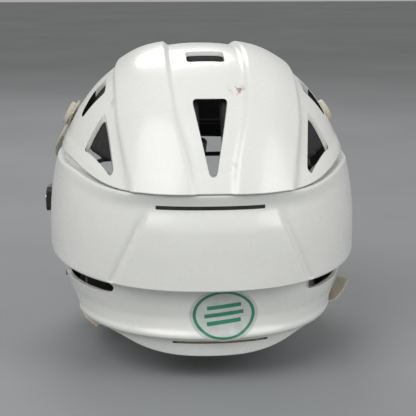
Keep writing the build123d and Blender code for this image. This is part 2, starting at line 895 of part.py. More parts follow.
# Comfort pads: brow, crown and jaws
pad_outer = crown_form(-shell_wall - fit_gap - liner_wall - fit_gap)
pad_inner = crown_form(-shell_wall - fit_gap - liner_wall - fit_gap - pad_wall)
with BuildPart() as pad_brow:
    with BuildSketch(Plane.XZ):
        with Locations((0, brow_pad_height)):
            RectangleRounded(brow_pad_length, brow_pad_width, pad_corner)
    extrude(amount=reach_out)
    add(pad_outer, mode=Mode.INTERSECT)
    add(pad_inner, mode=Mode.SUBTRACT)
save(whole(pad_brow.part), "pad_brow")
with BuildPart() as pad_crown:
    with BuildSketch(Plane.XY.offset(rim_side_height)):
        with Locations((0, crown_pad_y)):
            RectangleRounded(crown_pad_width, crown_pad_length, pad_corner)
    extrude(amount=reach_out)
    add(pad_outer, mode=Mode.INTERSECT)
    add(pad_inner, mode=Mode.SUBTRACT)
save(whole(pad_crown.part), "pad_crown")
with BuildPart() as jaw_pad:
    with BuildSketch(Plane.YZ):
        with Locations((jaw_pad_y, jaw_pad_z)):
            RectangleRounded(jaw_pad_length, jaw_pad_height, pad_corner)
    extrude(amount=reach_out)
    add(wall_form(-shell_wall - fit_gap), mode=Mode.INTERSECT)
    add(wall_form(-shell_wall - fit_gap - jaw_pad_wall), mode=Mode.SUBTRACT)
    with BuildSketch(clip_screw_planes[0].offset(-clip_depth - nut_height - nut_room)):
        Circle(nut_radius + fit_gap)
    extrude(amount=overrun, mode=Mode.SUBTRACT)
save(mirrored(jaw_pad.part), "jaw_pad_right")
save(jaw_pad.part, "jaw_pad_left")

# Fit cradle at the nape with its pad; its posts slide in two sockets on the rear shell
with BuildPart() as cradle_sockets:
    with BuildSketch(Plane.XZ.offset(-socket_front_y)):
        with Locations((post_x, post_height)):
            Circle(socket_radius)
            Circle(post_radius + running_gap, mode=Mode.SUBTRACT)
    extrude(amount=-overrun)
    add(wall_form(-shell_wall - running_gap), mode=Mode.INTERSECT)
save(whole(cradle_sockets.part), "cradle_sockets")
cradle_outer_grow = -shell_wall - cradle_gap
cradle_inner_grow = cradle_outer_grow - cradle_wall
with BuildPart() as fit_cradle:
    with BuildSketch(Plane.XZ):
        with Locations((0, cradle_z)):
            RectangleRounded(2 * cradle_half, cradle_height, cradle_corner)
    extrude(amount=-reach_out)
    add(wall_form(cradle_outer_grow), mode=Mode.INTERSECT)
    with BuildSketch(Plane.XZ.offset(-socket_front_y - post_engaged)):
        with Locations((post_x, post_height)):
            Circle(post_radius)
    extrude(amount=overrun)
    add(wall_form(cradle_inner_grow), mode=Mode.SUBTRACT)
save(whole(fit_cradle.part), "fit_cradle")
with BuildPart() as cradle_pad:
    with BuildSketch(Plane.XZ):
        with Locations((0, cradle_z)):
            RectangleRounded(2 * cradle_half - cradle_margin, cradle_height - cradle_margin, cradle_corner)
    extrude(amount=-reach_out)
    add(wall_form(cradle_inner_grow - fit_gap), mode=Mode.INTERSECT)
    add(wall_form(cradle_inner_grow - fit_gap - cradle_pad_wall), mode=Mode.SUBTRACT)
save(whole(cradle_pad.part), "cradle_pad")


# Chin harness
cup_out = Vector(0, -cos(radians(cup_tilt)), -sin(radians(cup_tilt)))
cup_face = Plane(origin=Vector(0, cup_y, cup_height), x_dir=Vector(1, 0, 0), z_dir=cup_out)


def half_egg(half_width, radius, wall, tip_wall, end_x):
    """Hollow half egg of the chin cup, turned about the X line in its open face and cut off at the ends."""
    with BuildPart() as solid:
        with BuildSketch(cup_face):
            Ellipse(half_width, radius)
            Ellipse(half_width - tip_wall, radius - wall, mode=Mode.SUBTRACT)
            with Locations((0, radius / 2)):
                Rectangle(2 * end_x, radius, mode=Mode.INTERSECT)
        revolve(axis=Axis(cup_face.origin, cup_face.x_dir), revolution_arc=half_turn)
    return solid.part


def webbing(stations):
    """Webbing through stations, each the middle of a section and the way its face looks."""
    middles = [Vector(*middle) for middle, out in stations]
    runs = [(end - start).normalized() for start, end in zip(middles, middles[1:])]
    alongs = [runs[0]] + [before + after for before, after in zip(runs, runs[1:])] + [runs[-1]]
    with BuildPart() as web:
        for (middle, out), along in zip(stations, alongs):
            with BuildSketch(Plane(origin=middle, x_dir=Vector(*out).cross(along), z_dir=along)):
                Rectangle(web_width, web_thickness)
        loft(ruled=True)
    return web.part


ear_out_x = ear_x + cup_wall
web_x = ear_out_x + running_gap + web_thickness / 2
with BuildPart() as cup_ears:
    with BuildSketch(Plane.YZ.offset(ear_x)):
        with Locations((cup_ear_y, cup_height)):
            RectangleRounded(cup_ear_length, cup_ear_height, edge_corner)
        with Locations(*rivet_spots):
            Circle(rivet_radius + running_gap, mode=Mode.SUBTRACT)
    extrude(amount=cup_wall)
    mirror(about=Plane.YZ)
with BuildPart() as chin_cup:
    add(half_egg(cup_half_width, cup_radius, cup_wall, cup_wall, ear_x))
    add(cup_ears.part)
save(chin_cup.part, "chin_cup")
pad_half_width = cup_half_width - cup_wall - fit_gap
pad_radius = cup_radius - cup_wall - fit_gap
with BuildPart() as cup_pad:
    add(half_egg(pad_half_width, pad_radius, cup_pad_wall, 0, ear_x - fit_gap))
save(cup_pad.part, "cup_pad")


def rivet_set(spots, inner_x, outer_x):
    """Round-headed rivets along X at spots of the side view, through the plates between two X."""
    with BuildPart() as rivets:
        with BuildSketch(Plane.YZ.offset(inner_x - running_gap - rivet_head)):
            with Locations(*spots):
                Circle(rivet_head_radius)
        extrude(amount=rivet_head)
        with BuildSketch(Plane.YZ.offset(outer_x + running_gap)):
            with Locations(*spots):
                Circle(rivet_head_radius)
        extrude(amount=rivet_head)
        with BuildSketch(Plane.YZ.offset(inner_x - rivet_head)):
            with Locations(*spots):
                Circle(rivet_radius)
        extrude(amount=outer_x - inner_x + 2 * rivet_head)
    return rivets.part


save(whole(rivet_set(rivet_spots, ear_x, web_x + web_thickness / 2)), "cup_rivets")

# Snap studs on the crown and the snap caps that close over them
with BuildPart() as upper_studs:
    with BuildSketch(upper_stud_plane.offset(-spot_depth)):
        Circle(screw_head_radius)
    extrude(amount=stud_flange + spot_depth)
    with BuildSketch(upper_stud_plane):
        Circle(stud_radius)
    extrude(amount=stud_height)
    with BuildSketch(upper_stud_plane):
        Circle(screw_radius)
    extrude(amount=-shell_wall)
save(whole(upper_studs.part), "upper_studs")
cap_base = stud_flange + web_thickness + 3 * running_gap
with BuildPart() as upper_caps:
    with BuildSketch(upper_stud_plane.offset(cap_base)):
        Circle(cap_radius)
    extrude(amount=cap_height)
    with BuildSketch(upper_stud_plane):
        Circle(stud_radius + running_gap)
    extrude(amount=stud_height + running_gap, mode=Mode.SUBTRACT)
save(whole(upper_caps.part), "upper_caps")

# Upper straps from the snaps over the shell's shoulder to the cup
shoulder_seat = side_seat(wall_size, shoulder_y, shoulder_height, shoulder_bulge)
cheek_seat = side_seat(wall_size, cheek_strap_y, cheek_strap_height, shoulder_bulge)
stud_out = upper_stud_plane.z_dir
web_start = upper_stud_plane.origin + stud_out * (stud_flange + running_gap + web_thickness / 2)
toward = shoulder_seat.origin - web_start
toward = (toward - stud_out * toward.dot(stud_out)).normalized()
upper_stations = (
    (web_start - toward * web_tail, stud_out),
    (web_start + toward * web_tail, stud_out),
    (shoulder_seat.origin, shoulder_seat.z_dir),
    (cheek_seat.origin, cheek_seat.z_dir),
    (strap_bend, (1, 0, -1)),
    ((web_x, *ear_strap_top), (1, 0, 0)),
    ((web_x, *ear_strap_end), (1, 0, 0)),
)
with BuildPart() as upper_strap:
    add(webbing(upper_stations))
    with BuildSketch(upper_stud_plane):
        Circle(stud_radius + running_gap)
    extrude(amount=overrun, both=True, mode=Mode.SUBTRACT)
    with BuildSketch(Plane.YZ.offset(ear_x)):
        with Locations(rivet_spots[0]):
            Circle(rivet_radius + running_gap)
    extrude(amount=overrun, mode=Mode.SUBTRACT)
save(mirrored(upper_strap.part), "upper_strap_right")
save(upper_strap.part, "upper_strap_left")

# Lower straps from the pivot plates to the cup
plate_web_x = plate_x - anchor_wall - running_gap - web_thickness / 2
lower_stations = (
    ((plate_web_x, *plate_strap_rear), (1, 0, 0)),
    ((plate_web_x, *plate_strap_front), (1, 0, 0)),
    (lower_run_rear, (1, 0, 0)),
    (lower_run_middle, (1, 0, 0)),
    (lower_run_front, (1, 0, 0)),
    ((web_x, *ear_low_rear), (1, 0, 0)),
    ((web_x, *ear_low_front), (1, 0, 0)),
)
with BuildPart() as lower_strap:
    add(webbing(lower_stations))
    with BuildSketch(Plane.YZ.offset(ear_x)):
        with Locations(rivet_spots[1]):
            Circle(rivet_radius + running_gap)
    extrude(amount=overrun / 2, mode=Mode.SUBTRACT)
    with BuildSketch(Plane.YZ.offset(plate_x)):
        with Locations(plate_rivet_spot):
            Circle(rivet_radius + running_gap)
    extrude(amount=-overrun / 2, mode=Mode.SUBTRACT)
save(mirrored(lower_strap.part), "lower_strap_right")
save(lower_strap.part, "lower_strap_left")

# Pivots of the chin harness: plates inside the shell, riveted to the straps, on stepped pins
with BuildPart() as pivot_plates:
    with BuildSketch(Plane.YZ.offset(plate_x)):
        with Locations((anchor_y, anchor_height)):
            Circle(anchor_radius)
        with Locations((anchor_y - anchor_arm / 2, anchor_height)):
            Rectangle(anchor_arm, 2 * anchor_radius)
        with Locations((anchor_y, anchor_height)):
            Circle(screw_radius + running_gap, mode=Mode.SUBTRACT)
        with Locations(plate_rivet_spot):
            Circle(rivet_radius + running_gap, mode=Mode.SUBTRACT)
    extrude(amount=-anchor_wall)
save(whole(pivot_plates.part), "pivot_plates")
save(whole(rivet_set([plate_rivet_spot], plate_web_x - web_thickness / 2, plate_x)), "plate_rivets")
pivot_depth = pivot_plane.origin.X - plate_x + anchor_wall + running_gap
with BuildPart() as harness_pivots:
    with BuildSketch(pivot_plane.offset(-spot_depth)):
        Circle(screw_head_radius)
    extrude(amount=screw_head_height)
    with BuildSketch(pivot_plane.offset(-spot_depth)):
        Circle(screw_radius)
    extrude(amount=-pivot_depth - nut_height)
    with BuildSketch(Plane.YZ.offset(plate_x + running_gap)):
        with Locations((anchor_y, anchor_height)):
            Circle(pivot_step_radius)
    extrude(amount=pivot_step)
save(whole(harness_pivots.part), "harness_pivots")
save(whole(nut_set([pivot_plane], pivot_depth)), "pivot_nuts")

# Free tails of the straps, which hang out under the shell's edge
save(webbing(left_tail_stations), "strap_tail_left")
save(webbing(right_tail_stations), "strap_tail_right")
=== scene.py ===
"""Visual model of the field lacrosse helmet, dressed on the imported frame."""

import math

import bmesh
import bpy
import numpy as np
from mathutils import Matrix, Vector


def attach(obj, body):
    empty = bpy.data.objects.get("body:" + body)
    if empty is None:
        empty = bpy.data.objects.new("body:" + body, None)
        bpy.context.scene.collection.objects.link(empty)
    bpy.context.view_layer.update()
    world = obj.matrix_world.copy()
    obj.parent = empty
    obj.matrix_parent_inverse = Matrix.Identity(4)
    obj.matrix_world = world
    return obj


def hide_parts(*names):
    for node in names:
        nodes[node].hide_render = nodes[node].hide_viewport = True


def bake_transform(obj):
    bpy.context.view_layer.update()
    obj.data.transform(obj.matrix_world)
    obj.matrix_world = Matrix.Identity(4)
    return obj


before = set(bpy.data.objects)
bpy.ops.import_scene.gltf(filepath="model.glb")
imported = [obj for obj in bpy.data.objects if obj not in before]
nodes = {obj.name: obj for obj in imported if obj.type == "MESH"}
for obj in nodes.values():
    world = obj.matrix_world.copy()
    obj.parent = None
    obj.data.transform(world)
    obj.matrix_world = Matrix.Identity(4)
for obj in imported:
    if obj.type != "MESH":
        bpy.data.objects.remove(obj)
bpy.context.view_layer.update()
scene = bpy.context.scene
MM = 0.001

# sizes of the shell's forms, in millimetres, and the powers of their outlines
PLAN = 2.25
MIDDLE_Y = 20.0
WIDEST = 89
DOME_RISE, DOME_POWER = 136, 2.3
TUCK_DROP, TUCK_POWER = 198, 2.6
CROWN_HALF, CROWN_REAR, CROWN_FRONT = 111.5, 131, 132
WALL_HALF, WALL_REAR, WALL_FRONT = 114, 132, 150
BAND_TOP = 78
BAND_HALF, BAND_REAR, BAND_FRONT = (78, 32), (112, 11.5), (160, 12)
SHELL_WALL = 3.2
NECK_OUT, NECK_IN = -3.5, -6.3
NECK_RISE = 4.5
RIM_REAR, RIM_RISE = 136, 14
RIM_SHARES = (0, 0.4, 0.56, 0.68, 0.77, 0.86, 1.1)
RIM_LIFTS = (0, 0, 0.05, 0.28, 0.6, 0.95, 1)
FLARE_OUT, FLARE_TOP, FLARE_RUN = 6, 170, 34
SEAM_MIDDLE, SEAM_SLOPE = 79, 0.0752
LOBE_INNER = ((-62, 15, 71, 100, 122, 140, 160), (20, 23.5, 24.5, 23.5, 20.5, 13.5, 9))
LOBE_OUTER = ((-62, 0, 49, 83, 104, 128, 150), (54, 62, 66, 65.5, 64.5, 59.5, 54))
LOBE_FRONT_Y, LOBE_MIDDLE_X, LOBE_SWEEP = -58, 42, 0.25
LOBE_RISE, LOBE_SHOULDER, LOBE_NOSE = 3.4, 4.2, 7
LOBE_PUFF, LOBE_PUFF_SIDE, LOBE_PUFF_RUN = 0.9, 20, 30
BEAD_RISE, BEAD_HEIGHT, BEAD_FADE = 0.9, 7.5, 3.0
PANEL_RISE, PANEL_HALF, PANEL_LEVEL, PANEL_TOP = 2.5, 47, 117, 127
PANEL_SLOPE, PANEL_SHOULDER, PANEL_FADE = 0.45, 2.2, 17
GROOVE_DEPTH, GROOVE_OUT, GROOVE_WIDTH = 1.7, 1.8, 2.0
SHOULDER_GAP, SHOULDER_DROP = 0.3, 5.7
FLUSH_GAP, FLUSH_MOST, FLUSH_RUN = 0.5, 6, 13
LIP_SIDE, LIP_REAR = 2.6, 5.6
LIP = ((46.5, 0.05), (45, 0.12), (43.5, 0.2), (42, 0.29), (40.6, 0.39), (39.3, 0.5), (38.3, 0.64))
LIP += ((37.4, 0.8), (36.6, 0.91), (35.7, 0.98), (34.8, 1.0), (34.0, 0.97), (33.4, 0.88), (33.1, 0.72))
LIP += ((33.0, 0.4), (32.8, 0.1), (32.2, 0.0))
LIP_TOP, LIP_CREST = 48, 10
LIP_START_Y, LIP_START_RUN = 56, 12
BRIDGE_BOTTOM, BRIDGE_RUN = 20.5, 13

# outlines of the openings and of the rear shell's side, with the size of their corners
CENTRE_VENT = ([(12.3, 194.5), (2.3, 146.5), (-2.3, 146.5), (-12.3, 194.5)], 3.5)
TOP_VENT = ([(13.5, 55), (13.5, 75), (-13.5, 75), (-13.5, 55)], 3.5)
UPPER_VENT = ([(69.5, 37), (71.5, 65), (88, 60), (88.5, 52), (80, 42)], 3)
LOWER_VENT = ([(71.5, 86), (65.8, 123.6), (68.6, 124), (86.5, 90)], 3)
EAR_HOLE = ([(22, 81), (22, 115), (-22, 115), (-22, 81)], 15, 9)
SEAM_SLOT = ([(62, 61), (62, 72.6), (104, 71), (116, 70.2), (121, 66), (118, 61.4), (108, 60.3)], 3)
REAR_SIDE = [(175, 175), (-56, 175), (-56, 60), (-92, 42), (-112, 42), (-112, 0), (-30, 0), (-14, 34)]
REAR_SIDE += [(75, 34), (97, 32), (113, 29), (124, 23), (135, 19), (175, 19)]
REAR_CORNER = 5

# how near and how far each opening is cut, from the middle or from the floor
CENTRE_CUT, TOP_CUT, SIDE_CUT = (60, 190), (150, 240), (130, 240)
EAR_CUT, SLOT_CUT = (60, 130), (50, 130)
CUT_REACH = 130

# levels of the rear shell's skin, the rounding of its edges, and the fillet under its seam
SHOULDER_LEVEL, LIP_LEVEL, BOTTOM = 142, 36, -4
TOP_ROUNDING, SEAM_ROUNDING = 1.3, 1.6
SEAM_FILLET = ((0, 0.8, 1.2), (0.5, 0.15, 0.3))
PANEL_START_Y, PANEL_START_RUN, PANEL_SIDE_SHARE = 60, 10, 0.35

# turn at which faces meet in a sharp edge, in degrees, and the middle of the head, in metres
SHARP = 32
HEAD_MIDDLE = (0, 0.02, 0.1)

# place and size of the one large scuff on the crown, in metres, and the colour of its dirt
SCUFF_AT, SCUFF_RADIUS, SCUFF_COLOUR = (-0.019, 0.103, 0.2), 0.007, (0.25, 0.06, 0.03)


# materials
def new_material(name, colour, roughness, metallic=0.0, coat=0.0, sheen=0.0):
    """A material whose plain numbers sit on the shader itself, with its node tree and shader."""
    material = bpy.data.materials.new(name)
    material.use_nodes = True
    tree = material.node_tree
    shader = tree.nodes["Principled BSDF"]
    shader.inputs["Base Color"].default_value = (*colour, 1)
    shader.inputs["Roughness"].default_value = roughness
    shader.inputs["Metallic"].default_value = metallic
    shader.inputs["Coat Weight"].default_value = coat
    shader.inputs["Coat Roughness"].default_value = 0.08
    shader.inputs["Sheen Weight"].default_value = sheen
    return material, tree, shader


def place(tree):
    """Object coordinates: every object sits at the origin, so these are metres in the frame."""
    found = tree.nodes.get("Place")
    if found is None:
        found = tree.nodes.new("ShaderNodeTexCoord")
        found.name = "Place"
    return found.outputs["Object"]


def noise(tree, scale, detail=4.0, roughness=0.55, stretch=None):
    """Fractal noise over the frame's places, with finer waves along an axis that stretch scales up."""
    node = tree.nodes.new("ShaderNodeTexNoise")
    node.inputs["Scale"].default_value = scale
    node.inputs["Detail"].default_value = detail
    node.inputs["Roughness"].default_value = roughness
    source = place(tree)
    if stretch:
        mapping = tree.nodes.new("ShaderNodeMapping")
        mapping.inputs["Scale"].default_value = stretch
        tree.links.new(source, mapping.inputs["Vector"])
        source = mapping.outputs["Vector"]
    tree.links.new(source, node.inputs["Vector"])
    return node.outputs["Fac"]


def ramp(tree, source, stops):
    """Colours of a value, blended between stops of a place and a colour."""
    node = tree.nodes.new("ShaderNodeValToRGB")
    elements = node.color_ramp.elements
    while len(elements) < len(stops):
        elements.new(0.5)
    for element, (at, colour) in zip(elements, stops):
        element.position = at
        element.color = (*colour, 1) if len(colour) == 3 else colour
    tree.links.new(source, node.inputs["Fac"])
    return node.outputs["Color"]


def grey(value):
    """Colour without a hue."""
    return (value, value, value)


def mix(tree, factor, first, second):
    """First colour at factor 0, second at factor 1."""
    node = tree.nodes.new("ShaderNodeMix")
    node.data_type = "RGBA"
    for value, socket in ((factor, 0), (first, 6), (second, 7)):
        if isinstance(value, (tuple, float)):
            node.inputs[socket].default_value = (*value, 1) if isinstance(value, tuple) else value
        else:
            tree.links.new(value, node.inputs[socket])
    return node.outputs[2]


def maths(tree, operation, first, second):
    """Result of one operation on two values."""
    node = tree.nodes.new("ShaderNodeMath")
    node.operation = operation
    for value, socket in ((first, 0), (second, 1)):
        if isinstance(value, float):
            node.inputs[socket].default_value = value
        else:
            tree.links.new(value, node.inputs[socket])
    return node.outputs[0]


def spread(tree, source, low, high):
    """Value from 0 to 1 stretched to run from low to high."""
    node = tree.nodes.new("ShaderNodeMapRange")
    node.inputs["To Min"].default_value = low
    node.inputs["To Max"].default_value = high
    tree.links.new(source, node.inputs["Value"])
    return node.outputs["Result"]


def spot(tree, at, radius):
    """1 at a place in the frame, falling to 0 at radius."""
    node = tree.nodes.new("ShaderNodeVectorMath")
    node.operation = "DISTANCE"
    node.inputs[1].default_value = at
    tree.links.new(place(tree), node.inputs[0])
    fall = tree.nodes.new("ShaderNodeMapRange")
    fall.inputs["From Max"].default_value = radius
    fall.inputs["To Min"].default_value = 1
    fall.inputs["To Max"].default_value = 0
    tree.links.new(node.outputs["Value"], fall.inputs["Value"])
    return fall.outputs["Result"]


def relief(tree, shader, height, strength, distance, edge=0.0):
    """Bump from a height, over edges that look softly rounded where edge gives a radius."""
    node = tree.nodes.new("ShaderNodeBump")
    node.inputs["Strength"].default_value = strength
    node.inputs["Distance"].default_value = distance
    tree.links.new(height, node.inputs["Height"])
    if edge:
        bevel = tree.nodes.new("ShaderNodeBevel")
        bevel.samples = 4
        bevel.inputs["Radius"].default_value = edge
        tree.links.new(bevel.outputs["Normal"], node.inputs["Normal"])
    tree.links.new(node.outputs["Normal"], shader.inputs["Normal"])


def weave(tree, pitch):
    """Height of a plain weave: two crossed sets of waves."""
    waves = []
    for turn in (0.0, math.pi / 2):
        node = tree.nodes.new("ShaderNodeTexWave")
        node.inputs["Scale"].default_value = 0.314 / pitch
        node.inputs["Distortion"].default_value = 0.4
        mapping = tree.nodes.new("ShaderNodeMapping")
        mapping.inputs["Rotation"].default_value = (turn, turn * 0.5, math.pi / 4 + turn)
        tree.links.new(place(tree), mapping.inputs["Vector"])
        tree.links.new(mapping.outputs["Vector"], node.inputs["Vector"])
        waves.append(node.outputs["Fac"])
    return maths(tree, "MAXIMUM", waves[0], waves[1])


def gloss_plastic(name, light, dark, scuff):
    """Moulded gloss plastic with faint clouding, fine scratches, a few scuffs and rubbed grime."""
    material, tree, shader = new_material(name, light, 0.28, coat=0.2)
    cloud = ramp(tree, noise(tree, 14, 3), [(0.35, light), (0.75, dark)])
    patch = ramp(tree, noise(tree, 26, 2), [(0.6, grey(0)), (0.72, grey(1))])
    streak = ramp(tree, noise(tree, 160, 6, 0.7, (1, 0.16, 0.35)), [(0.6, grey(0)), (0.7, grey(1))])
    marks = maths(tree, "MULTIPLY", patch, streak)
    fleck = ramp(tree, noise(tree, 420, 2), [(0.735, grey(0)), (0.77, grey(1))])
    worn = mix(tree, maths(tree, "MULTIPLY", marks, 0.55), cloud, scuff)
    dotted = mix(tree, maths(tree, "MULTIPLY", fleck, 0.35), worn, scuff)
    near = maths(tree, "MULTIPLY", spot(tree, SCUFF_AT, SCUFF_RADIUS), 1.3)
    broken = ramp(tree, noise(tree, 330, 5, 0.7, (1, 0.4, 1)), [(0.5, grey(0)), (0.6, grey(1))])
    colour = mix(tree, maths(tree, "MULTIPLY", near, broken), dotted, SCUFF_COLOUR)
    tree.links.new(colour, shader.inputs["Base Color"])
    rough = maths(tree, "ADD", spread(tree, noise(tree, 55, 4), 0.2, 0.36), marks)
    tree.links.new(rough, shader.inputs["Roughness"])
    height = maths(tree, "ADD", noise(tree, 240, 2), maths(tree, "MULTIPLY", streak, -0.5))
    relief(tree, shader, height, 0.05, 0.0002, 0.0009)
    return material


def dull_plastic(name, light, dark, grain, edge=0.0007, roughness=0.45):
    """Moulded dull plastic with a fine sparked grain and rubbed lighter patches."""
    material, tree, shader = new_material(name, dark, roughness)
    rub = ramp(tree, noise(tree, 40, 5, 0.65), [(0.42, dark), (0.8, light)])
    tree.links.new(rub, shader.inputs["Base Color"])
    rough = spread(tree, noise(tree, 90, 4), roughness - 0.12, roughness + 0.15)
    tree.links.new(rough, shader.inputs["Roughness"])
    relief(tree, shader, noise(tree, grain, 2), 0.35, 0.0002, edge)
    return material


def coated_wire(name):
    """Powder coated steel: slight orange peel, chips down to grey metal."""
    material, tree, shader = new_material(name, (0.012, 0.012, 0.013), 0.32, coat=0.2)
    chip = ramp(tree, noise(tree, 210, 4, 0.6), [(0.7, grey(0)), (0.73, grey(1))])
    near = ramp(tree, noise(tree, 30, 2), [(0.5, grey(0)), (0.66, grey(1))])
    bare = maths(tree, "MULTIPLY", chip, near)
    colour = mix(tree, bare, (0.012, 0.012, 0.013), (0.2, 0.19, 0.18))
    tree.links.new(colour, shader.inputs["Base Color"])
    tree.links.new(spread(tree, noise(tree, 120, 3), 0.24, 0.42), shader.inputs["Roughness"])
    relief(tree, shader, noise(tree, 700, 2), 0.25, 0.0002)
    return material


def bead_foam(name, light, dark):
    """Foam moulded from beads: cells with dark joins."""
    material, tree, shader = new_material(name, dark, 0.75)
    cells = tree.nodes.new("ShaderNodeTexVoronoi")
    cells.inputs["Scale"].default_value = 330
    tree.links.new(place(tree), cells.inputs["Vector"])
    colour = ramp(tree, cells.outputs["Distance"], [(0.1, light), (0.75, dark)])
    tree.links.new(colour, shader.inputs["Base Color"])
    tree.links.new(spread(tree, noise(tree, 60, 3), 0.6, 0.85), shader.inputs["Roughness"])
    relief(tree, shader, maths(tree, "MULTIPLY", cells.outputs["Distance"], -1.0), 0.5, 0.0008)
    return material


def cloth(name, light, dark, pitch, sheen=0.3, dirt=0.0):
    """Woven or knit cloth with its threads, uneven dye and some dirt."""
    roughness = 0.85
    material, tree, shader = new_material(name, light, roughness, sheen=sheen)
    threads = weave(tree, pitch)
    base = ramp(tree, threads, [(0.15, dark), (0.8, light)])
    tone = ramp(tree, noise(tree, 35, 4), [(0.3, grey(0.82)), (0.7, grey(1))])
    product = tree.nodes.new("ShaderNodeMix")
    product.data_type = "RGBA"
    product.blend_type = "MULTIPLY"
    product.inputs[0].default_value = 1
    tree.links.new(base, product.inputs[6])
    tree.links.new(tone, product.inputs[7])
    colour = product.outputs[2]
    if dirt:
        stain = ramp(tree, noise(tree, 60, 5, 0.7), [(0.52, grey(0)), (0.78, grey(dirt))])
        colour = mix(tree, stain, colour, (0.16, 0.13, 0.09))
    tree.links.new(colour, shader.inputs["Base Color"])
    rough = spread(tree, noise(tree, 80, 3), roughness - 0.1, roughness + 0.08)
    tree.links.new(rough, shader.inputs["Roughness"])
    relief(tree, shader, threads, 0.6, pitch * 0.4)
    return material


def turned_steel(name):
    """Zinc plated screws and rivets: fine brushed streaks and dull spots."""
    material, tree, shader = new_material(name, (0.42, 0.42, 0.43), 0.3, metallic=1.0)
    tone = ramp(tree, noise(tree, 300, 4), [(0.35, (0.3, 0.3, 0.31)), (0.7, (0.5, 0.5, 0.5))])
    tree.links.new(tone, shader.inputs["Base Color"])
    rough = spread(tree, noise(tree, 500, 3, 0.6, (1, 6, 1)), 0.22, 0.45)
    tree.links.new(rough, shader.inputs["Roughness"])
    relief(tree, shader, noise(tree, 900, 2, 0.5, (1, 8, 1)), 0.2, 0.0001, 0.0003)
    return material


shell_white = gloss_plastic("shell_white", (0.79, 0.8, 0.77), (0.74, 0.75, 0.72), (0.2, 0.18, 0.16))
visor_black = dull_plastic("visor_black", (0.035, 0.035, 0.036), (0.014, 0.014, 0.015), 1500)
cradle_black = dull_plastic("cradle_plastic", (0.05, 0.05, 0.052), (0.02, 0.02, 0.022), 1100)
wire_black = coated_wire("wire_black")
liner_foam = bead_foam("liner_foam", (0.021, 0.021, 0.022), (0.009, 0.009, 0.01))
pad_cloth = cloth("pad_cloth", (0.03, 0.03, 0.032), (0.008, 0.008, 0.009), 0.0011)
webbing = cloth("webbing_cream", (0.72, 0.67, 0.54), (0.52, 0.47, 0.36), 0.0014, 0.15, 0.35)
screw_steel = turned_steel("screw_steel")
BY_SLOT = {
    "shell_white": shell_white,
    "visor_black": visor_black,
    "wire_black": wire_black,
    "liner_foam": liner_foam,
    "pad_cloth": pad_cloth,
    "cradle_plastic": cradle_black,
    "webbing_cream": webbing,
    "screw_steel": screw_steel,
}
cap_cream = dull_plastic("cap_cream", (0.66, 0.62, 0.52), (0.58, 0.54, 0.44), 900, 0.0007, 0.4)
for name, node in nodes.items():
    for material_slot in node.material_slots:
        slot_name = material_slot.material.name.split(".")[0] if material_slot.material else ""
        if slot_name in BY_SLOT:
            material_slot.material = cap_cream if name == "upper_caps" else BY_SLOT[slot_name]


# forms of the shell, in millimetres
def smooth_step(value):
    """0 to 1 with soft ends."""
    value = np.clip(value, 0, 1)
    return value * value * (3 - 2 * value)


def curve(x, xs, ys):
    """Smooth line through a few given points."""
    xs, ys = np.array(xs, float), np.array(ys, float)
    slopes = np.gradient(ys, xs)
    at = np.clip(np.searchsorted(xs, x) - 1, 0, len(xs) - 2)
    width = xs[at + 1] - xs[at]
    t = np.clip((x - xs[at]) / width, 0, 1)
    low = ys[at] * (1 + 2 * t) * (1 - t) ** 2 + slopes[at] * width * t * (1 - t) ** 2
    return low + ys[at + 1] * t * t * (3 - 2 * t) + slopes[at + 1] * width * t * t * (t - 1)


def rim_height(x):
    """Height of the crown's rim line."""
    return RIM_REAR + RIM_RISE * curve(np.abs(x) / CROWN_HALF, RIM_SHARES, RIM_LIFTS)


def seam_height(y):
    """Height of the seam between the upper wall and the lower band."""
    return SEAM_MIDDLE - SEAM_SLOPE * (y - MIDDLE_Y)


def rim_flare(height):
    """How far the crown's back flares out towards its rim."""
    return FLARE_OUT * np.clip((FLARE_TOP - height) / FLARE_RUN, 0, None) ** 2


def arch(lift, rise, power):
    """Share of the widest section that is left at a lift from it, out of rise."""
    return np.clip(1 - (np.clip(lift, 0, rise) / rise) ** power, 1e-6, 1) ** (1 / power)


def wall_reach(z, out, back):
    """Half width, rear and front reach of the upper wall at a height, grown by out, at the rear by back."""
    share = arch(z - WIDEST, DOME_RISE, DOME_POWER) * arch(WIDEST - z, TUCK_DROP, TUCK_POWER)
    return WALL_HALF * share + out, WALL_REAR * share + back, WALL_FRONT * share + out


def band_reach(z, out, back):
    """The same of the lower band."""
    ease = 1.3 * z / BAND_TOP - 0.3 * (z / BAND_TOP) ** 2
    half, rear, front = (low + more * ease for low, more in (BAND_HALF, BAND_REAR, BAND_FRONT))
    return half + out, rear + back, front + out


def neck_reach(z, out, _back):
    """The same of the neck under the crown, grown alike all round."""
    share = arch(z - WIDEST, DOME_RISE, DOME_POWER)
    return (CROWN_HALF + out) * share, (CROWN_REAR + out) * share, (CROWN_FRONT + out) * share


def crown_reach(z, out, _back):
    """The same of the crown without its flare, whose top grows too."""
    share = arch(z - WIDEST, DOME_RISE + out, DOME_POWER)
    return (CROWN_HALF + out) * share, (CROWN_REAR + out) * share, (CROWN_FRONT + out) * share


def build_mesh(name, points, faces, material):
    """Mesh object from points in millimetres."""
    data = bpy.data.meshes.new(name)
    data.from_pydata([tuple(p) for p in np.asarray(points, float) * MM], [], faces)
    data.validate()
    work = bmesh.new()
    work.from_mesh(data)
    bmesh.ops.recalc_face_normals(work, faces=work.faces)
    work.to_mesh(data)
    work.free()
    data.materials.append(material)
    thing = bpy.data.objects.new(name, data)
    scene.collection.objects.link(thing)
    return thing


def grid_faces(rows, columns, round_rows=False, round_columns=False):
    """Faces between neighbours in a grid of points, which may close round its rows or its columns."""
    faces = []
    for r in range(rows if round_rows else rows - 1):
        for i in range(columns if round_columns else columns - 1):
            here, below = r * columns, (r + 1) % rows * columns
            after = (i + 1) % columns
            faces.append((here + i, here + after, below + after, below + i))
    return faces


